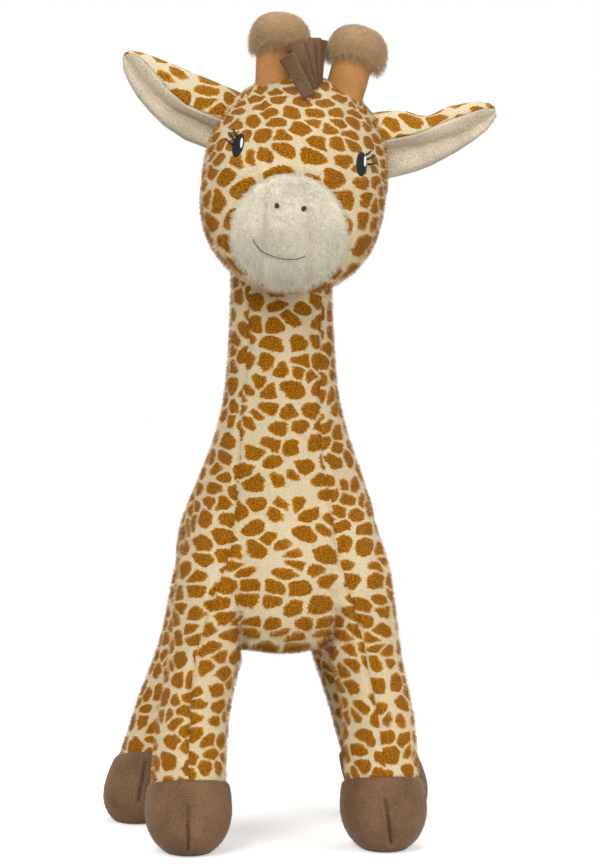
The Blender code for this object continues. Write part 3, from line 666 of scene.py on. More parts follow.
def head_part(name, first, last):
    """Some of the head's rings as an object, the pattern laid out from the face, and behind from the nape."""
    points, away = coordinates(head_all), normals(head_all)
    chosen = slice(first * around, (last + 1) * around)
    obj = add(name, points[chosen], [face[::-1] for face in grid_faces(last - first + 1, around, True)])
    local = np.array([tuple(head_matrix.inverted() @ Vector(p)) for p in points[chosen]])
    local /= np.linalg.norm(local, axis=1)[:, None]
    corner = corner_vertices(obj)
    place = local[corner]
    behind = np.repeat(first + np.arange(len(corner) // 4) // around >= nape_ring, 4)
    level = np.array([(1, 0, 0), (0, math.cos(tilt), math.sin(tilt)), (0, -math.sin(tilt), math.cos(tilt))])
    over = place @ level.T
    face_place = azimuthal(-place[:, 1], place[:, 0], place[:, 2], (0, 1.37))
    nape_place = azimuthal(over[:, 1], over[:, 0], over[:, 2], (0.61, 1.9))
    write_map(obj, np.where(behind[:, None], nape_place, face_place))
    obj.data.normals_split_custom_set_from_vertices([tuple(n) for n in away[chosen]])
    return obj


head_cover = head_part("head_cover", rings_in, rings)
muzzle_cover = head_part("muzzle_cover", 0, rings_in)
bpy.data.objects.remove(head_all)


# Materials
def graph_of(name, roughness, specular, sheen=0.0, sheen_roughness=0.5):
    """A material with these constants on its shader, and a short way to add nodes."""
    material = bpy.data.materials.new(name)
    material.use_nodes = True
    nodes, links = material.node_tree.nodes, material.node_tree.links
    shader = nodes["Principled BSDF"]
    shader.inputs["Roughness"].default_value = roughness
    shader.inputs["Specular IOR Level"].default_value = specular
    shader.inputs["Sheen Weight"].default_value = sheen
    shader.inputs["Sheen Roughness"].default_value = sheen_roughness

    def node(kind, inputs=(), **settings):
        made = nodes.new("ShaderNode" + kind)
        for key, value in settings.items():
            setattr(made, key, value)
        for key, value in dict(inputs).items():
            if isinstance(value, bpy.types.NodeSocket):
                links.new(value, made.inputs[key])
            else:
                made.inputs[key].default_value = value
        return made

    return material, shader, node, links


def maths(node, operation, a, b=0.0):
    return node("Math", {0: a, 1: b}, operation=operation).outputs[0]


def ramp(node, value, low, high):
    inputs = {"Value": value, "From Min": low, "From Max": high}
    return node("MapRange", inputs, interpolation_type="SMOOTHSTEP").outputs[0]


def noise_of(node, place, scale, detail, output="Fac", **settings):
    return node("TexNoise", {"Vector": place, "Scale": scale, "Detail": detail}, **settings).outputs[output]


def vector_maths(node, operation, a, b):
    return node("VectorMath", {0: a, 1: b}, operation=operation).outputs[0]


def toned(node, colour, value):
    return node("HueSaturation", {"Color": colour, "Value": value}).outputs[0]


def random_tone(node, spread, least):
    return maths(node, "ADD", maths(node, "MULTIPLY", node("HairInfo").outputs["Random"], spread), least)


def set_bump(node, links, shader, height, strength, depth):
    bump = node("Bump", {"Height": height, "Strength": strength, "Distance": depth})
    links.new(bump.outputs[0], shader.inputs["Normal"])


def mix(node, share, a, b):
    made = node("Mix", {0: share}, data_type="RGBA")
    for socket, value in ((made.inputs[6], a), (made.inputs[7], b)):
        if isinstance(value, bpy.types.NodeSocket):
            made.id_data.links.new(value, socket)
        else:
            socket.default_value = (*value, 1)
    return made.outputs[2]


cream, cream_deep = (0.83, 0.72, 0.49), (0.72, 0.59, 0.37)
# The lighter colour at each spot's rim is painted sheen of the pile, not a dye of the fabric
spot_core, spot_dark, spot_rim_painted_sheen = (0.54, 0.220, 0.009), (0.22, 0.072, 0.001), (0.60, 0.28, 0.030)


def spotted(name, pile):
    """Rounded spots parted by cream lines, from the distances to the two nearest of scattered points."""
    material, shader, node, links = graph_of(name, 0.9, 0.06, 0.0 if pile else 0.12)
    place = vector_maths(node, "MULTIPLY", node("UVMap", uv_map="pattern").outputs[0], (0.84, 1.20, 1))
    at = place
    for scale, amount in ((70.0, 0.0072), (520.0, 0.0022)):
        noise = noise_of(node, place, scale, 1.5, "Color", noise_dimensions="2D")
        centred = vector_maths(node, "SUBTRACT", noise, (0.5, 0.5, 0.5))
        moved = node("VectorMath", {0: centred, "Scale": amount}, operation="SCALE").outputs[0]
        at = vector_maths(node, "ADD", at, moved)
    scattered = {"Vector": at, "Scale": 65.0, "Randomness": 0.86}
    nearest, second = (
        node("TexVoronoi", scattered, feature=rank, voronoi_dimensions="2D").outputs["Distance"]
        for rank in ("F1", "F2")
    )
    corner = maths(node, "MAXIMUM", maths(node, "SUBTRACT", nearest, 0.40), 0.0)
    inside = maths(node, "SUBTRACT", maths(node, "SUBTRACT", second, nearest), corner)
    grain = {"Vector": place, "Scale": 800.0, "Detail": 3.0, "Roughness": 0.6}
    mottle = node("TexNoise", grain, noise_dimensions="2D").outputs["Fac"]
    core = mix(node, ramp(node, mottle, 0.38, 0.62), spot_dark, spot_core)
    # Painted sheen: near its rim each spot takes the lighter colour
    core = mix(node, ramp(node, inside, 0.11, 0.28), spot_rim_painted_sheen, core)
    ground = mix(node, ramp(node, mottle, 0.35, 0.60), cream_deep, cream)
    colour = mix(node, ramp(node, inside, 0.070, 0.145), ground, core)
    brightness = random_tone(node, 0.50, 0.76) if pile else 0.86
    links.new(toned(node, colour, brightness), shader.inputs["Base Color"])
    if not pile:
        set_bump(node, links, shader, mottle, 0.6, 0.0008)
    return material


spotted_cloth, spotted_pile = spotted("spotted_cloth", False), spotted("spotted_pile", True)
plush_length, plush_density = 0.0022, 1.6


def plain_pile(name, colour, spread=0.30):
    """Strands of one colour, each a little lighter or darker."""
    material, shader, node, links = graph_of(name, 0.85, 0.2)
    value = random_tone(node, spread, 1 - spread / 2)
    links.new(toned(node, (*colour, 1), value), shader.inputs["Base Color"])
    return material


def plain_cloth(name, colour, grain=900.0, depth=0.0006, sheen=0.3, contrast=0.25):
    """A fabric ground: fine mottling in colour and height, and a soft sheen."""
    material, shader, node, links = graph_of(name, 0.85, 0.2, sheen, 0.4)
    place = node("TexCoord").outputs["Object"]
    fine, broad = noise_of(node, place, grain, 3.0), noise_of(node, place, 40.0, 2.0)
    share = maths(node, "ADD", maths(node, "MULTIPLY", fine, 0.6), maths(node, "MULTIPLY", broad, 0.4))
    low = tuple(c * (1 - contrast) for c in colour)
    high = tuple(min(1, c * (1 + contrast)) for c in colour)
    links.new(mix(node, ramp(node, share, 0.35, 0.65), low, high), shader.inputs["Base Color"])
    set_bump(node, links, shader, fine, 0.7, depth)
    return material


def thread_cloth(name, colour, roughness=0.45):
    """Embroidery thread: a fine sparkle of lighter and darker."""
    material, shader, node, links = graph_of(name, roughness, 0.25)
    fine = noise_of(node, node("TexCoord").outputs["Object"], 2500.0, 2.0)
    low = tuple(c * 0.6 for c in colour)
    high = tuple(min(1, c * 1.5) for c in colour)
    links.new(mix(node, fine, low, high), shader.inputs["Base Color"])
    set_bump(node, links, shader, fine, 0.4, 0.0002)
    return material


strands_per_root = 5


def furry(obj, cloth, pile, length, per_mm2, thickness=0.00009, seed=1, rough=0.0004, lean=0.5, lengths=None):
    """Short pile on a piece: length in metres, strands to a square millimetre."""
    obj.data.materials.append(cloth)
    obj.data.materials.append(pile)
    area = sum(p.area for p in obj.data.polygons) * 1e6
    obj.modifiers.new("pile", "PARTICLE_SYSTEM")
    system = obj.particle_systems[-1]
    system.seed = seed
    settings = system.settings
    settings.type = "HAIR"
    for key, value in {
        "use_advanced_hair": True,
        "emit_from": "FACE",
        "use_emit_random": True,
        "use_even_distribution": True,
        "distribution": "RAND",
        "count": max(100, int(area * per_mm2 / strands_per_root)),
        "hair_step": 3,
        "render_step": 2,
        "display_step": 2,
        "hair_length": length,
        "child_type": "INTERPOLATED",
        "rendered_child_count": strands_per_root,
        "clump_factor": 0.55,
        "clump_shape": 0.2,
        "child_percent": 0,
        "child_length": 1,
        "child_length_threshold": 0.3,
        "roughness_2": rough,
        "roughness_2_size": 0.002,
        "roughness_endpoint": rough,
        "root_radius": 1,
        "tip_radius": 0.35,
        "radius_scale": thickness,
        "material": 2,
    }.items():
        setattr(settings, key, value)
    speed = settings.normal_factor
    settings.object_align_factor = (0, 0, -lean * speed)
    settings.factor_random = 0.35 * speed
    if lengths is not None:
        group = obj.vertex_groups.new(name="length")
        for i, share in enumerate(lengths):
            group.add([i], float(share), "REPLACE")
        system.vertex_group_length = "length"
    return obj


trunk = part_of(body, "trunk_cover", owner == 0)
leg_covers = {name: part_of(body, name + "_cover", owner == number) for number, name in enumerate(legs, 1)}
bpy.data.objects.remove(body)


def tube(name, places, radius, material, taper=0.0):
    """A round thread through the places, thinner at its far end where taper is set."""
    curve = bpy.data.curves.new(name, "CURVE")
    curve.dimensions = "3D"
    curve.bevel_depth = radius
    curve.bevel_resolution = 2
    curve.use_fill_caps = True
    spline = curve.splines.new("POLY")
    spline.points.add(len(places) - 1)
    for i, place in enumerate(places):
        spline.points[i].co = (*place, 1)
        spline.points[i].radius = 1 - taper * i / (len(places) - 1)
    made = linked(name, curve)
    bpy.context.view_layer.update()
    mesh = bpy.data.meshes.new_from_object(made.evaluated_get(bpy.context.evaluated_depsgraph_get()))
    bpy.data.objects.remove(made)
    mesh.shade_smooth()
    mesh.materials.clear()
    mesh.materials.append(material)
    return linked(name, mesh)


def in_head(obj, *nodes):
    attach(obj, "head")
    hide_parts(*nodes)
    return obj


# Embroidery: satin ovals of close threads, laid on the surface between two pixels of the photo
def satin_oval(name, top, bottom, half_width, height, material, threads=34, lift=0.0):
    (high, _), (low, _) = seen(head_surface, *top), seen(head_surface, *bottom)
    centre = (high + low) / 2
    normal = head_surface.find_nearest(centre)[1]
    long = (high - low) / 2
    wide = normal.cross(long).normalized() * half_width
    rows, columns = threads * 4 + 1, 25
    points = []
    for i in range(rows):
        along = -1 + 2 * i / (rows - 1)
        chord = math.sqrt(max(0, 1 - along**2))
        ridge = 0.5 + 0.5 * math.cos(2 * math.pi * threads * i / (rows - 1))
        for j in range(columns):
            across = -1 + 2 * j / (columns - 1)
            flat = centre + long * along + wide * across * (chord + 0.02)
            place = head_surface.ray_cast(flat + normal * 0.02, -normal)[0]
            dome = max(0, 1 - across**2) ** 0.35 * (0.25 + 0.75 * chord)
            points.append(place + normal * (lift + height * dome * (0.86 + 0.14 * ridge)))
    obj = add(name, points, grid_faces(rows, columns))
    obj.data.materials.append(material)
    return obj


black_thread = thread_cloth("black_thread", (0.005, 0.005, 0.006), 0.6)
white_thread = thread_cloth("white_thread", (0.86, 0.86, 0.84))
brown_thread = thread_cloth("brown_thread", (0.050, 0.026, 0.015), 0.6)

eyes = {
    # top and bottom of the eye, and of its glint
    "right": ((240.4, 134.0), (236.6, 157.0), (243.6, 139.5), (242.6, 149.5)),
    "left": ((362.4, 152.4), (360.0, 176.0), (363.4, 157.0), (362.9, 167.5)),
}
lashes = {
    "right": [
        [(238.5, 138.0), (236.0, 134.3), (234.4, 130.0)],
        [(235.6, 141.0), (232.6, 137.2), (230.0, 133.2)],
        [(234.2, 146.0), (230.4, 142.8), (227.2, 139.6)],
    ],
    "left": [
        [(364.6, 155.6), (367.4, 153.8), (369.9, 151.6)],
        [(365.8, 160.0), (370.2, 158.0), (373.8, 155.6)],
        [(366.4, 165.2), (370.8, 164.4), (374.8, 163.6)],
    ],
}
bare_places = []
for side_name, (top, bottom, glint_top, glint_bottom) in eyes.items():
    eye = f"eye_{side_name}"
    in_head(satin_oval(eye + "_satin", top, bottom, 0.0050, 0.0021, black_thread), eye)
    glint = eye + "_glint"
    piece = satin_oval(glint + "_satin", glint_top, glint_bottom, 0.0011, 0.0009, white_thread, 12, 0.0019)
    in_head(piece, glint)
    high, low = seen(head_surface, *top)[0], seen(head_surface, *bottom)[0]
    bare_places += [high.lerp(low, t) for t in (0.1, 0.3, 0.5, 0.7, 0.9)]
    for i, pixels in enumerate(lashes[side_name], 1):
        places = []
        for pixel in pixels:
            place, normal = seen(head_surface, *pixel)
            places.append(place + normal * (0.0019 - 0.0004 * len(places)))
        bare_places += places
        rows = spline_rows([tuple(p) for p in places], 5)
        lash = tube(f"lash_{side_name}_{i}_thread", [Vector(p) for p in rows], 0.00082, black_thread, 0.25)
        in_head(lash, f"lash_{side_name}_{i}")
nostrils = {"right": (277.0, 206.0), "left": (303.5, 209.0)}
for side_name, (px, py) in nostrils.items():
    top, bottom = (px + 0.5, py - 2.6), (px - 0.5, py + 2.6)
    knot = satin_oval(f"nostril_{side_name}_knot", top, bottom, 0.0016, 0.0032, brown_thread, 5)
    in_head(knot, f"nostril_{side_name}")

smile_pixels = [
    (253.5, 239), (255.5, 244), (260.5, 249.5), (268, 254), (277, 257), (287, 259), (297, 258.5),
    (303.5, 256.5), (308, 254),
]
smile = seen_points(head_surface, smile_pixels, 0.0006)
stitches = []
for start in range(0, len(smile) - 6, 7):
    places = []
    for k in range(7):
        rise = 0.0013 + 0.0008 * math.sin(math.pi * k / 6) ** 0.5
        places.append(smile[start + k] + muzzle_way * rise)
    stitches.append(tube("stitch", places, 0.00036, brown_thread))
smile_thread = joined("smile_thread", stitches)
smile_thread.data.materials.append(brown_thread)
in_head(smile_thread, "mouth_thread")

for piece in (trunk, *leg_covers.values()):
    furry(piece, spotted_cloth, spotted_pile, plush_length, plush_density)
clear = smooth(near(coordinates(head_cover), bare_places), 0.0048, 0.0085)
furry(head_cover, spotted_cloth, spotted_pile, plush_length, plush_density, lengths=0.12 + 0.88 * clear)
mouth_clear = smooth(near(coordinates(muzzle_cover), smile), 0.0006, 0.0045)
nose = [seen(head_surface, *pixel)[0] for pixel in nostrils.values()]
shown = 0.45 + 0.55 * mouth_clear * smooth(near(coordinates(muzzle_cover), nose), 0.001, 0.0055)
muzzle_cloth = plain_cloth("muzzle_cloth", (0.72, 0.66, 0.54))
beige_pile = plain_pile("beige_pile", (0.81, 0.77, 0.66))
lining_cloth = plain_cloth("lining_cloth", (0.58, 0.49, 0.36))
lining_pile = plain_pile("lining_pile", (0.73, 0.63, 0.48))
furry(muzzle_cover, muzzle_cloth, beige_pile, 0.0033, 3.0, rough=0.0010, lean=0.35, lengths=shown)

# Ears: a spotted back folded over the top edge and a lining of pile, between four lines of the photo
ear_lines = {
    "right": {
        "top": [
            (252, 98), (237, 91), (215, 81.5), (196, 74), (177, 66), (158, 58), (142, 52.5), (130, 50.5),
            (125, 53),
        ],
        "seam": [
            (236, 126), (219, 118), (201, 111.5), (187, 105), (171, 92), (159, 78), (148, 65), (137, 54.5),
            (126, 54),
        ],
        "crease": [
            (224, 137), (207, 126), (191, 118), (172, 110), (153, 94), (141, 80), (134, 70), (129, 62),
            (125, 56),
        ],
        "lower": [
            (222, 158), (206, 148), (185, 140), (164, 126), (150, 112), (138, 98), (129, 83), (123.5, 70),
            (123, 58),
        ],
    },
    "left": {
        "top": [
            (368, 114), (380, 111.5), (398, 110.5), (408, 111.5), (419, 115.5), (430, 115.5), (447, 107),
            (470, 102), (488, 102), (495, 107),
        ],
        "seam": [
            (376, 144), (389, 139.5), (401, 137), (412, 135), (424, 131), (436, 125.5), (449, 120),
            (466, 114), (482, 108.5), (495, 108.5),
        ],
        "crease": [
            (380, 151), (392, 148.5), (405, 147), (418, 145.5), (430, 143), (442, 140), (455, 136.5),
            (470, 131), (484, 122), (496, 112),
        ],
        "lower": [
            (380, 180), (392, 177.5), (404, 175), (418, 171), (432, 165.5), (446, 158), (460, 150),
            (475, 140), (488, 129.5), (497, 116),
        ],
    },
}
ear_roots = {
    # where the ear is sewn on, and how far it sweeps back for each metre outward
    "left": (Vector((0.0588, -0.0500, 0.5197)), 0.0625),
    "right": (Vector((-0.0623, -0.0416, 0.5396)), 0.1907),
}
# Columns across each sheet: a line, the line it moves towards, how far, and depth ahead of the root
fold_columns = [
    ("top", "top", 0, 0), ("top", "seam", 0.12, 0.0045), ("top", "seam", 0.5, 0.0095),
    ("top", "seam", 0.9, 0.0118), ("seam", "crease", 0.03, 0.0100),
]
lining_columns = [
    ("seam", "crease", 0.0, 0.0104), ("seam", "crease", 0.2, 0.0122), ("seam", "crease", 0.6, 0.0085),
    ("crease", "crease", 0, 0.0015), ("crease", "lower", 0.3, 0.0060), ("crease", "lower", 0.75, 0.0070),
    ("crease", "lower", 0.97, 0.0035), ("lower", "lower", 0, 0),
]
behind_columns = [
    ("top", "top", 0, 0), ("top", "lower", 0.08, -0.004), ("top", "lower", 0.3, -0.0062),
    ("top", "lower", 0.7, -0.0055), ("top", "lower", 0.94, -0.0030), ("lower", "lower", 0, 0),
]


def along_line(pixels, share):
    pixels = np.array(pixels, float)
    steps = np.concatenate([[0], np.cumsum(np.hypot(*np.diff(pixels, axis=0).T))])
    return [np.interp(share * steps[-1], steps, pixels[:, k]) for k in (0, 1)]


def ear_rows(side_name, columns, rows=42, across=8):
    """Rows of points across the ear, from its root to its tip."""
    root, sweep = ear_roots[side_name]
    lines = ear_lines[side_name]
    out = []
    for i in range(rows):
        share = i / (rows - 1)
        swell = min(1, 1.15 * (1 - share) ** 0.45)
        controls = []
        for first, second, part, depth in columns:
            a, b = along_line(lines[first], share), along_line(lines[second], share)
            px, py = a[0] + (b[0] - a[0]) * part, a[1] + (b[1] - a[1]) * part
            flat = at_depth(px, py, root.y)
            y = root.y + abs(flat.x - root.x) * sweep - depth * swell
            controls.append(tuple(at_depth(px, py, y)))
        out.append(spline_rows(controls, across))
    return np.array(out)


def run_length(points, axis):
    """Length along a sheet's rows (axis 0) or across them (axis 1), from its edge to each point."""
    steps = np.linalg.norm(np.diff(points, axis=axis), axis=2)
    return np.insert(np.cumsum(steps, axis), 0, 0, axis)


def ear_sheet(name, side_name, columns, offset, flip):
    points = ear_rows(side_name, columns)
    faces = grid_faces(*points.shape[:2])
    if flip:
        faces = [f[::-1] for f in faces]
    obj = add(name, points.reshape(-1, 3), faces)
    flat = np.stack([run_length(points, 0), run_length(points, 1)], 2)
    write_map(obj, (flat.reshape(-1, 2) + offset)[corner_vertices(obj)])
    return obj


for side_name, side in (("right", -1), ("left", 1)):
    ear = f"ear_{side_name}"
    cover = joined(
        ear + "_cover",
        [
            ear_sheet("fold", side_name, fold_columns, (2.0 + side, 2.3), side > 0),
            ear_sheet("behind", side_name, behind_columns, (2.6 + side, 3.1), side < 0),
        ],
    )
    furry(cover, spotted_cloth, spotted_pile, 0.0020, plush_density)
    pad = ear_sheet(ear + "_pile", side_name, lining_columns, (0, 0), side > 0)
    furry(pad, lining_cloth, lining_pile, 0.0040, 3.0, rough=0.0014, lean=0.4)
    for piece, node_name in ((cover, "back"), (pad, "lining")):
        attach(piece, f"ear_{side_name}")
        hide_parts(f"ear_{side_name}_{node_name}")


# Ossicones: a ribbed knit stem and a shaggy cap
def turned(name, profile, place, around=96, ribs=(0, 0)):
    """A form turned about its own z through (radius, z) rows, with ribs of a number and height."""
    rows = spline_rows(profile, 5)
    points = []
    for r, z in rows:
        for j in range(around):
            turn = 2 * math.pi * j / around
            out = r + ribs[1] * math.cos(ribs[0] * turn)
            points.append(place @ Vector((out * math.cos(turn), out * math.sin(turn), z)))
    return add(name, points, grid_faces(len(rows), around, True))


knit = plain_cloth("tan_knit", (0.50, 0.245, 0.085), 1500.0, 0.0004, 0.12, 0.22)
knit_pile = plain_pile("tan_fuzz", (0.54, 0.27, 0.10))
cap_cloth = plain_cloth("cap_cloth", (0.38, 0.25, 0.13))
cap_pile = plain_pile("cap_pile", (0.57, 0.40, 0.225), 0.45)
stem_profile = [
    (0.0158, -0.004), (0.0150, 0.004), (0.0143, 0.014), (0.0141, 0.026), (0.0143, 0.036), (0.0143, 0.046),
    (0.0138, 0.0600),
]
cap_profile = [
    (0.0130, 0.0560), (0.0145, 0.0505), (0.0165, 0.0478), (0.0190, 0.0474), (0.0206, 0.0510),
    (0.0210, 0.0570), (0.0200, 0.0632), (0.0172, 0.0695), (0.0125, 0.0738), (0.0065, 0.0760),
    (0.0003, 0.0765),
]
for side_name, side, cap_aside in (("left", 1, 0.0004), ("right", -1, 0.0018)):
    ossicone = f"ossicone_{side_name}"
    place = (
        head_matrix
        @ Matrix.Translation((side * 0.0232, -0.006, 0.034))
        @ Matrix.Rotation(side * math.radians(6), 4, "Y")
    )
    stem = face_outward(turned(ossicone + "_knit", stem_profile, place, 288, (72, 0.00016)))
    furry(stem, knit, knit_pile, 0.0007, 1.2, thickness=0.00006, rough=0.0002)
    in_head(stem, ossicone + "_stem", ossicone + "_stuffing")
    cap_place = place @ Matrix.Translation((cap_aside, 0, 0))
    cap = turned(ossicone + "_cap", cap_profile, cap_place)
    # The cap's lip stands higher in front and behind than at its sides
    points = coordinates(cap)
    local = np.array([tuple(cap_place.inverted() @ Vector(p)) for p in points])
    ahead = (local[:, 1] / 0.021) ** 2 * (1 - smooth(local[:, 2], 0.050, 0.072))
    axis = np.array(tuple((cap_place.to_3x3() @ Vector((0, 0, 1))).normalized()))
    set_coordinates(cap, points + axis * (0.0085 * ahead)[:, None])
    furry(cap, cap_cloth, cap_pile, 0.0030, 2.6, rough=0.0010, lean=0.9, seed=3)
    in_head(cap, ossicone + "_knob")

# Forelock and mane: flat folded strips of velour, cut across at their ends
velour = plain_cloth("taupe_velour", (0.165, 0.090, 0.045), 1100.0, 0.0004, 0.15, 0.35)
velour_pile = plain_pile("taupe_nap", (0.205, 0.115, 0.058), 0.5)


def strip(name, root, tip, wide_way, root_width, tip_width, thick, bow=0.0):
    """A flattened tube from root to tip, hollow at its cut end."""
    axis = (tip - root).normalized()
    wide = (wide_way - axis * wide_way.dot(axis)).normalized()
    deep = axis.cross(wide).normalized()
    around, rows = 28, 22
    rings = []
    for i in range(rows + 4):
        share = min(1, i / (rows - 1))
        inset = 0 if i < rows else (0.10, 0.22, 0.26, 0.30)[i - rows]
        back_off = 0 if i < rows + 1 else (0.0004, 0.0022, 0.0045)[i - rows - 1]
        middle = root.lerp(tip, share) - axis * back_off + deep * bow * math.sin(math.pi * share)
        half_wide = (root_width + (tip_width - root_width) * share**0.7) / 2 - inset * thick
        half_deep = thick / 2 * (1 - inset * 1.6)
        ring = []
        for j in range(around):
            turn = 2 * math.pi * j / around
            c, d = math.cos(turn), math.sin(turn)
            x = half_wide * math.copysign(abs(c) ** 0.55, c)
            y = half_deep * math.copysign(abs(d) ** 0.75, d) * (1 + 0.10 * math.cos(2 * turn))
            ring.append(middle + wide * x + deep * y)
        rings.append(ring)
    faces = grid_faces(len(rings), around, True)
    faces.append(tuple(range(around))[::-1])
    faces.append(tuple((len(rings) - 1) * around + j for j in range(around)))
    return face_outward(add(name, [p for ring in rings for p in ring], faces))


strips = [
    # root and tip pixels, their depths, widths at root and tip, thickness, turn of the flat side, bow
    ((309, 96.5), (286.5, 56.0), -0.0985, -0.1010, 0.0085, 0.0122, 0.0056, 0.10, 0.0015),
    ((311, 90), (296.0, 41.0), -0.0885, -0.0870, 0.0080, 0.0108, 0.0040, 0.05, 0.001),
    ((313, 89), (306.0, 41.0), -0.0840, -0.0815, 0.0080, 0.0104, 0.0040, -0.05, -0.001),
    ((315, 88), (315.0, 38.0), -0.0795, -0.0760, 0.0080, 0.0096, 0.0040, -0.25, 0.001),
    ((317, 88), (322.0, 40.0), -0.0750, -0.0710, 0.0080, 0.0090, 0.0040, -0.45, 0.0015),
]
for i, row in enumerate(strips, 1):
    root_px, tip_px, root_y, tip_y, root_width, tip_width, thick, turned_away, bow = row
    root, tip = at_depth(*root_px, root_y), at_depth(*tip_px, tip_y)
    wide_way = right * math.cos(turned_away) + back * math.sin(turned_away)
    piece = strip(f"forelock_strip_{i}_velour", root, tip, wide_way, root_width, tip_width, thick, bow)
    furry(piece, velour, velour, 0.0006, 2.0, thickness=0.00006, rough=0.0001, lean=0.8)
    in_head(piece, f"forelock_strip_{i}")


# Linings under the covers, which show only where a leg swings away
def lining(name, rows, inset):
    shrunk = [(x, y, z, max(a - inset, a * 0.3), max(b - inset, b * 0.3)) for x, y, z, a, b in rows]
    obj = loft(name, shrunk, 64, 5)
    set_coordinates(obj, slimmed(coordinates(obj)))
    corner = corner_vertices(obj)
    points = coordinates(obj)[corner]
    write_map(obj, np.stack([np.arctan2(points[:, 0] - shift.x, -points[:, 1]) * 0.06, points[:, 2]], 1))
    obj.data.materials.append(spotted_cloth)
    return obj


lining_inset, lining_low, trunk_lining_top, leg_lining_top = 0.0085, 0.05, 0.26, 0.235
core_rows = [row for row in trunk_rows if row[2] < trunk_lining_top]
core = lining("trunk_lining", core_rows, lining_inset)
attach(core, "root")
for name in legs:
    rows = [row for row in leg_stations(name) if lining_low < row[2] < leg_lining_top]
    x, y = leg_centre(name, bend_height)
    upper = lining(name + "_lining", rows, lining_inset)
    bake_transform(upper)

# Hooves: stuffed velour with a dart in front, and a sole sewn in below
hoof_rows = [
    # share down from the sloping seam, height, half width, half length, forward
    (0, 0.0505, 0.0252, 0.0262, 0), (0.02, 0.0503, 0.0278, 0.0284, 0),
    (0.07, 0.0490, 0.0297, 0.0302, 0.0004), (0.15, 0.0455, 0.0309, 0.0317, 0.0010),
    (0.35, 0.0360, 0.0321, 0.0340, 0.0025), (0.58, 0.0260, 0.0321, 0.0352, 0.0038),
    (0.78, 0.0165, 0.0298, 0.0340, 0.0046), (0.90, 0.0092, 0.0258, 0.0308, 0.0050),
    (0.97, 0.0044, 0.0215, 0.0268, 0.0050), (1, 0.0020, 0.0182, 0.0235, 0.0050),
    (1, 0.0016, 0.0164, 0.0217, 0.0050),
]
sole_rows = [
    (1, 0.0027, 0.0168, 0.0221, 0.0050), (1, 0.0020, 0.0179, 0.0232, 0.0050),
    (1, 0.0012, 0.0177, 0.0230, 0.0050), (1, 0.0006, 0.0164, 0.0217, 0.0050),
    (1, 0.0005, 0.0110, 0.0150, 0.0050), (1, 0.0005, 0.0010, 0.0012, 0.0050),
]
darts = {
    "front_right": [(187.5, 806), (188.5, 815), (187.5, 826), (188.5, 838), (188.0, 850)],
    "front_left": [(384.5, 800), (386.5, 808), (388.0, 820), (389.5, 832), (391.0, 844)],
    "hind_right": [(145.0, 763), (143.0, 776), (140.5, 788), (138.5, 801)],
    "hind_left": None,
}


def hoof_form(name, part_name, rows, around, steps):
    y = legs[name][1]
    rows = spline_rows(rows, steps)
    points = []
    for down, z, wide, long, ahead in rows:
        for j in range(around):
            turn = 2 * math.pi * j / around
            dx, dy = wide * math.cos(turn), -long * math.sin(turn) * (1.0 if math.sin(turn) > 0 else 0.93)
            height = z - (dy - ahead) * hoof_tilt * max(1 - down, 0) ** 1.5
            points.append((leg_centre(name, z)[0] + dx, y + shift.y - ahead + dy, max(height, 0)))
    faces = [face[::-1] for face in grid_faces(len(rows), around, True)]
    return face_outward(add(part_name, points, faces))


for name in legs:
    hoof = hoof_form(name, f"{name}_hoof_velour", hoof_rows, 288, 7)
    hoof_surface = surface_of(hoof)
    if darts[name]:
        dart = seen_points(hoof_surface, darts[name], 0.0006)
    else:
        x, y = leg_centre(name, 0.03)
        starts = [Vector((x, y - 0.1, z)) for z in np.linspace(0.040, 0.007, 40)]
        rearward = Vector((0, 1, 0))
        dart = evenly([hoof_surface.ray_cast(start, rearward)[0] for start in starts], 0.0006)
    crease(hoof, dart, 0.0022, 0.0011, 0.45)
    furry(hoof, velour, velour_pile, 0.0006, 0.9, thickness=0.00007, rough=0.0001, lean=0.6)
    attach(hoof, "leg_" + name)
    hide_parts(name + "_hoof")
    hoof_surface = surface_of(hoof)
    stitches = []
    for k in range(len(dart) // 3, len(dart) - 3, 4):
        middle, along = dart[k], (dart[k + 3] - dart[k - 3]).normalized()
        across = hoof_surface.find_nearest(middle)[1].cross(along).normalized()
        places = []
        for t in (-1, -0.5, 0, 0.5, 1):
            place, normal, _, _ = hoof_surface.find_nearest(middle + across * 0.0011 * t + along * 0.0005 * t)
            places.append(place + normal * (0.0004 if abs(t) < 1 else -0.0003))
        stitches.append(tube("stitch", places, 0.00022, brown_thread))
    thread = joined(f"{name}_dart_thread", stitches)
    thread.data.materials.append(brown_thread)
    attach(thread, "leg_" + name)
    sole = hoof_form(name, f"{name}_sole_velour", sole_rows, 144, 5)
    furry(sole, velour, velour_pile, 0.0005, 0.8, thickness=0.00007, rough=0.0001, lean=0.6)
    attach(sole, "leg_" + name)
    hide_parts(name + "_sole")


# Mane: the same velour strips in a row down the back of the head and of the neck
def fringe(name, roots, ways, side_way, width, length, body_name, node_name, seed):
    shuffle = np.random.default_rng(seed)
    pieces = []
    for root, outward_way in zip(roots, ways):
        lean_side, lean_along = shuffle.uniform(-0.16, 0.16), shuffle.uniform(-0.30, 0.05)
        part = shuffle.uniform(0.92, 1.06)
        along_way = side_way.cross(outward_way).normalized()
        tip_way = (outward_way + side_way * lean_side + along_way * lean_along).normalized()
        tip = root + tip_way * length * part
        bow = shuffle.uniform(-0.001, 0.001)
        pieces.append(strip("strip", root, tip, side_way, width * 0.85, width, 0.0052, bow))
    obj = joined(name, pieces)
    furry(obj, velour, velour_pile, 0.0006, 1.6, thickness=0.00006, rough=0.0001, lean=0.4)
    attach(obj, body_name)
    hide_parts(node_name)


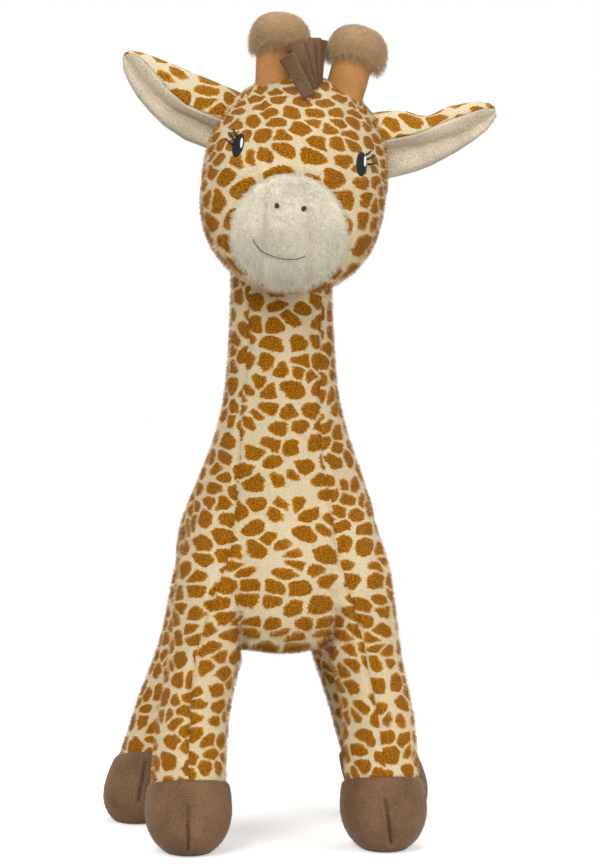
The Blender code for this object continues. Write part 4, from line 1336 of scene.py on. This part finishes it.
roots, ways = [], []
for turn in np.radians(np.linspace(88, 4, 18)):
    outward_way = (head_matrix.to_3x3() @ Vector((0, math.cos(turn), math.sin(turn)))).normalized()
    place = head_surface.ray_cast(head_matrix.translation + outward_way * 0.2, -outward_way)[0]
    roots.append(place - outward_way * 0.004)
    ways.append(outward_way)
fringe("mane_head_velour", roots, ways, side_way, 0.0115, 0.0200, "head", "mane_head", 5)
nape_y = -0.030 + shift.y + 0.0385 - 0.003
roots = [Vector((shift.x, nape_y, z)) for z in np.linspace(0.396, 0.309, 16)]
ways = [Vector((0, 1, 0.10)).normalized()] * len(roots)
fringe("mane_neck_velour", roots, ways, Vector((1, 0, 0)), 0.0115, 0.0195, "neck", "mane_neck", 6)

# Tail
tail_place = Matrix.Translation((shift.x, 0.1198, 0.213)) @ Matrix.Rotation(math.radians(20), 4, "X")
tail_profile = [
    (0.0004, -0.0478), (0.0040, -0.0470), (0.0058, -0.0440), (0.0060, -0.030), (0.0066, -0.016),
    (0.0073, -0.008), (0.0070, -0.002), (0.0052, 0.0020), (0.0004, 0.0034),
]
tail_around = 72
tail = turned("tail_cover", tail_profile, tail_place, tail_around)
ring, wrap = np.divmod(corner_vertices(tail), tail_around)
wrap = wrap.reshape(-1, 4)
split = (wrap.max(1) - wrap.min(1) > tail_around / 2)[:, None] & (wrap < tail_around / 2)
wrap = np.where(split, wrap + tail_around, wrap).ravel()
write_map(tail, np.stack([wrap / tail_around * 0.045 + 3.1, ring * 0.0013 + 0.9], 1))
furry(face_outward(tail), spotted_cloth, spotted_pile, 0.0018, plush_density)
tuft_profile = [
    (0.0004, -0.0800), (0.0030, -0.0780), (0.0056, -0.0700), (0.0068, -0.0600), (0.0062, -0.0520),
    (0.0048, -0.0470), (0.0030, -0.0450), (0.0004, -0.0445),
]
tuft = face_outward(turned("tail_tuft_pile", tuft_profile, tail_place, 64))
tuft_pile = plain_pile("tuft_pile", (0.20, 0.115, 0.062), 0.5)
furry(tuft, velour, tuft_pile, 0.0050, 4.0, thickness=0.00012, rough=0.0015, lean=2.2)
for piece, node_name in ((tail, "tail"), (tuft, "tail_tuft")):
    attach(piece, "tail")
    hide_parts(node_name)

# The large covers
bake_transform(trunk)
for name, cover in leg_covers.items():
    x, y = leg_centre(name, bend_height)
    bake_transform(cover)
    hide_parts(name + "_leg_skin", name + "_leg_stuffing")
for piece in (head_cover, muzzle_cover):
    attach(piece, "head")
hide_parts("torso_skin", "torso_stuffing", "neck_skin", "neck_stuffing")
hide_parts("head_skin", "head_stuffing")
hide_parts("muzzle")

# Studio
world = bpy.data.worlds.new("world")
scene.world = world
world.use_nodes = True
nodes, links = world.node_tree.nodes, world.node_tree.links
background = nodes["Background"]
background.inputs[1].default_value = 1.0
rays = nodes.new("ShaderNodeLightPath").outputs
straight = rays["Is Camera Ray"]
for kind in ("Is Glossy Ray", "Is Transmission Ray"):
    either = nodes.new("ShaderNodeMath")
    either.operation = "MAXIMUM"
    links.new(straight, either.inputs[0])
    links.new(rays[kind], either.inputs[1])
    straight = either.outputs[0]
tone = nodes.new("ShaderNodeMix")
tone.data_type = "RGBA"
links.new(straight, tone.inputs[0])
tone.inputs[6].default_value = (0.50, 0.50, 0.50, 1)
tone.inputs[7].default_value = (1, 1, 1, 1)
links.new(tone.outputs[2], background.inputs[0])


def soft_light(name, place, aim, size, power):
    light = linked(name, bpy.data.lights.new(name, "AREA"))
    light.data.shape = "DISK"
    light.data.size = size
    light.data.energy = power
    light.location = place
    light.rotation_euler = (Vector(aim) - Vector(place)).to_track_quat("-Z", "Y").to_euler()


soft_light("key_light", (-1.2, -2.0, 1.9), (0, 0, 0.3), 1.4, 45)
soft_light("front_light", (0.1, -2.6, 0.35), (0, 0, 0.35), 1.2, 8)
soft_light("fill_light", (1.8, -1.6, 0.9), (0, 0, 0.3), 1.6, 23)
soft_light("top_light", (0.2, 0.5, 2.4), (0, 0, 0.3), 1.6, 19)
scene.view_settings.view_transform = "Standard"

floor = add("floor", [(-6, -6, 0), (6, -6, 0), (6, 6, 0), (-6, 6, 0)], [(0, 1, 2, 3)])
material, shader, node, links = graph_of("floor", 1.0, 0.0)
centre = node("VectorMath", {0: node("TexCoord").outputs["Object"]}, operation="LENGTH").outputs["Value"]
far = ramp(node, centre, 0.35, 1.0)
links.new(mix(node, far, (0.86, 0.86, 0.86), (0, 0, 0)), shader.inputs["Base Color"])
paths = node("LightPath").outputs
mirrored = maths(node, "MAXIMUM", paths["Is Glossy Ray"], paths["Is Transmission Ray"])
seen_straight = maths(node, "MAXIMUM", paths["Is Camera Ray"], mirrored)
shader.inputs["Emission Color"].default_value = (1, 1, 1, 1)
glow = maths(node, "ADD", maths(node, "MULTIPLY", far, 0.58), 0.42)
links.new(maths(node, "MULTIPLY", seen_straight, glow), shader.inputs["Emission Strength"])
floor.data.materials.append(material)
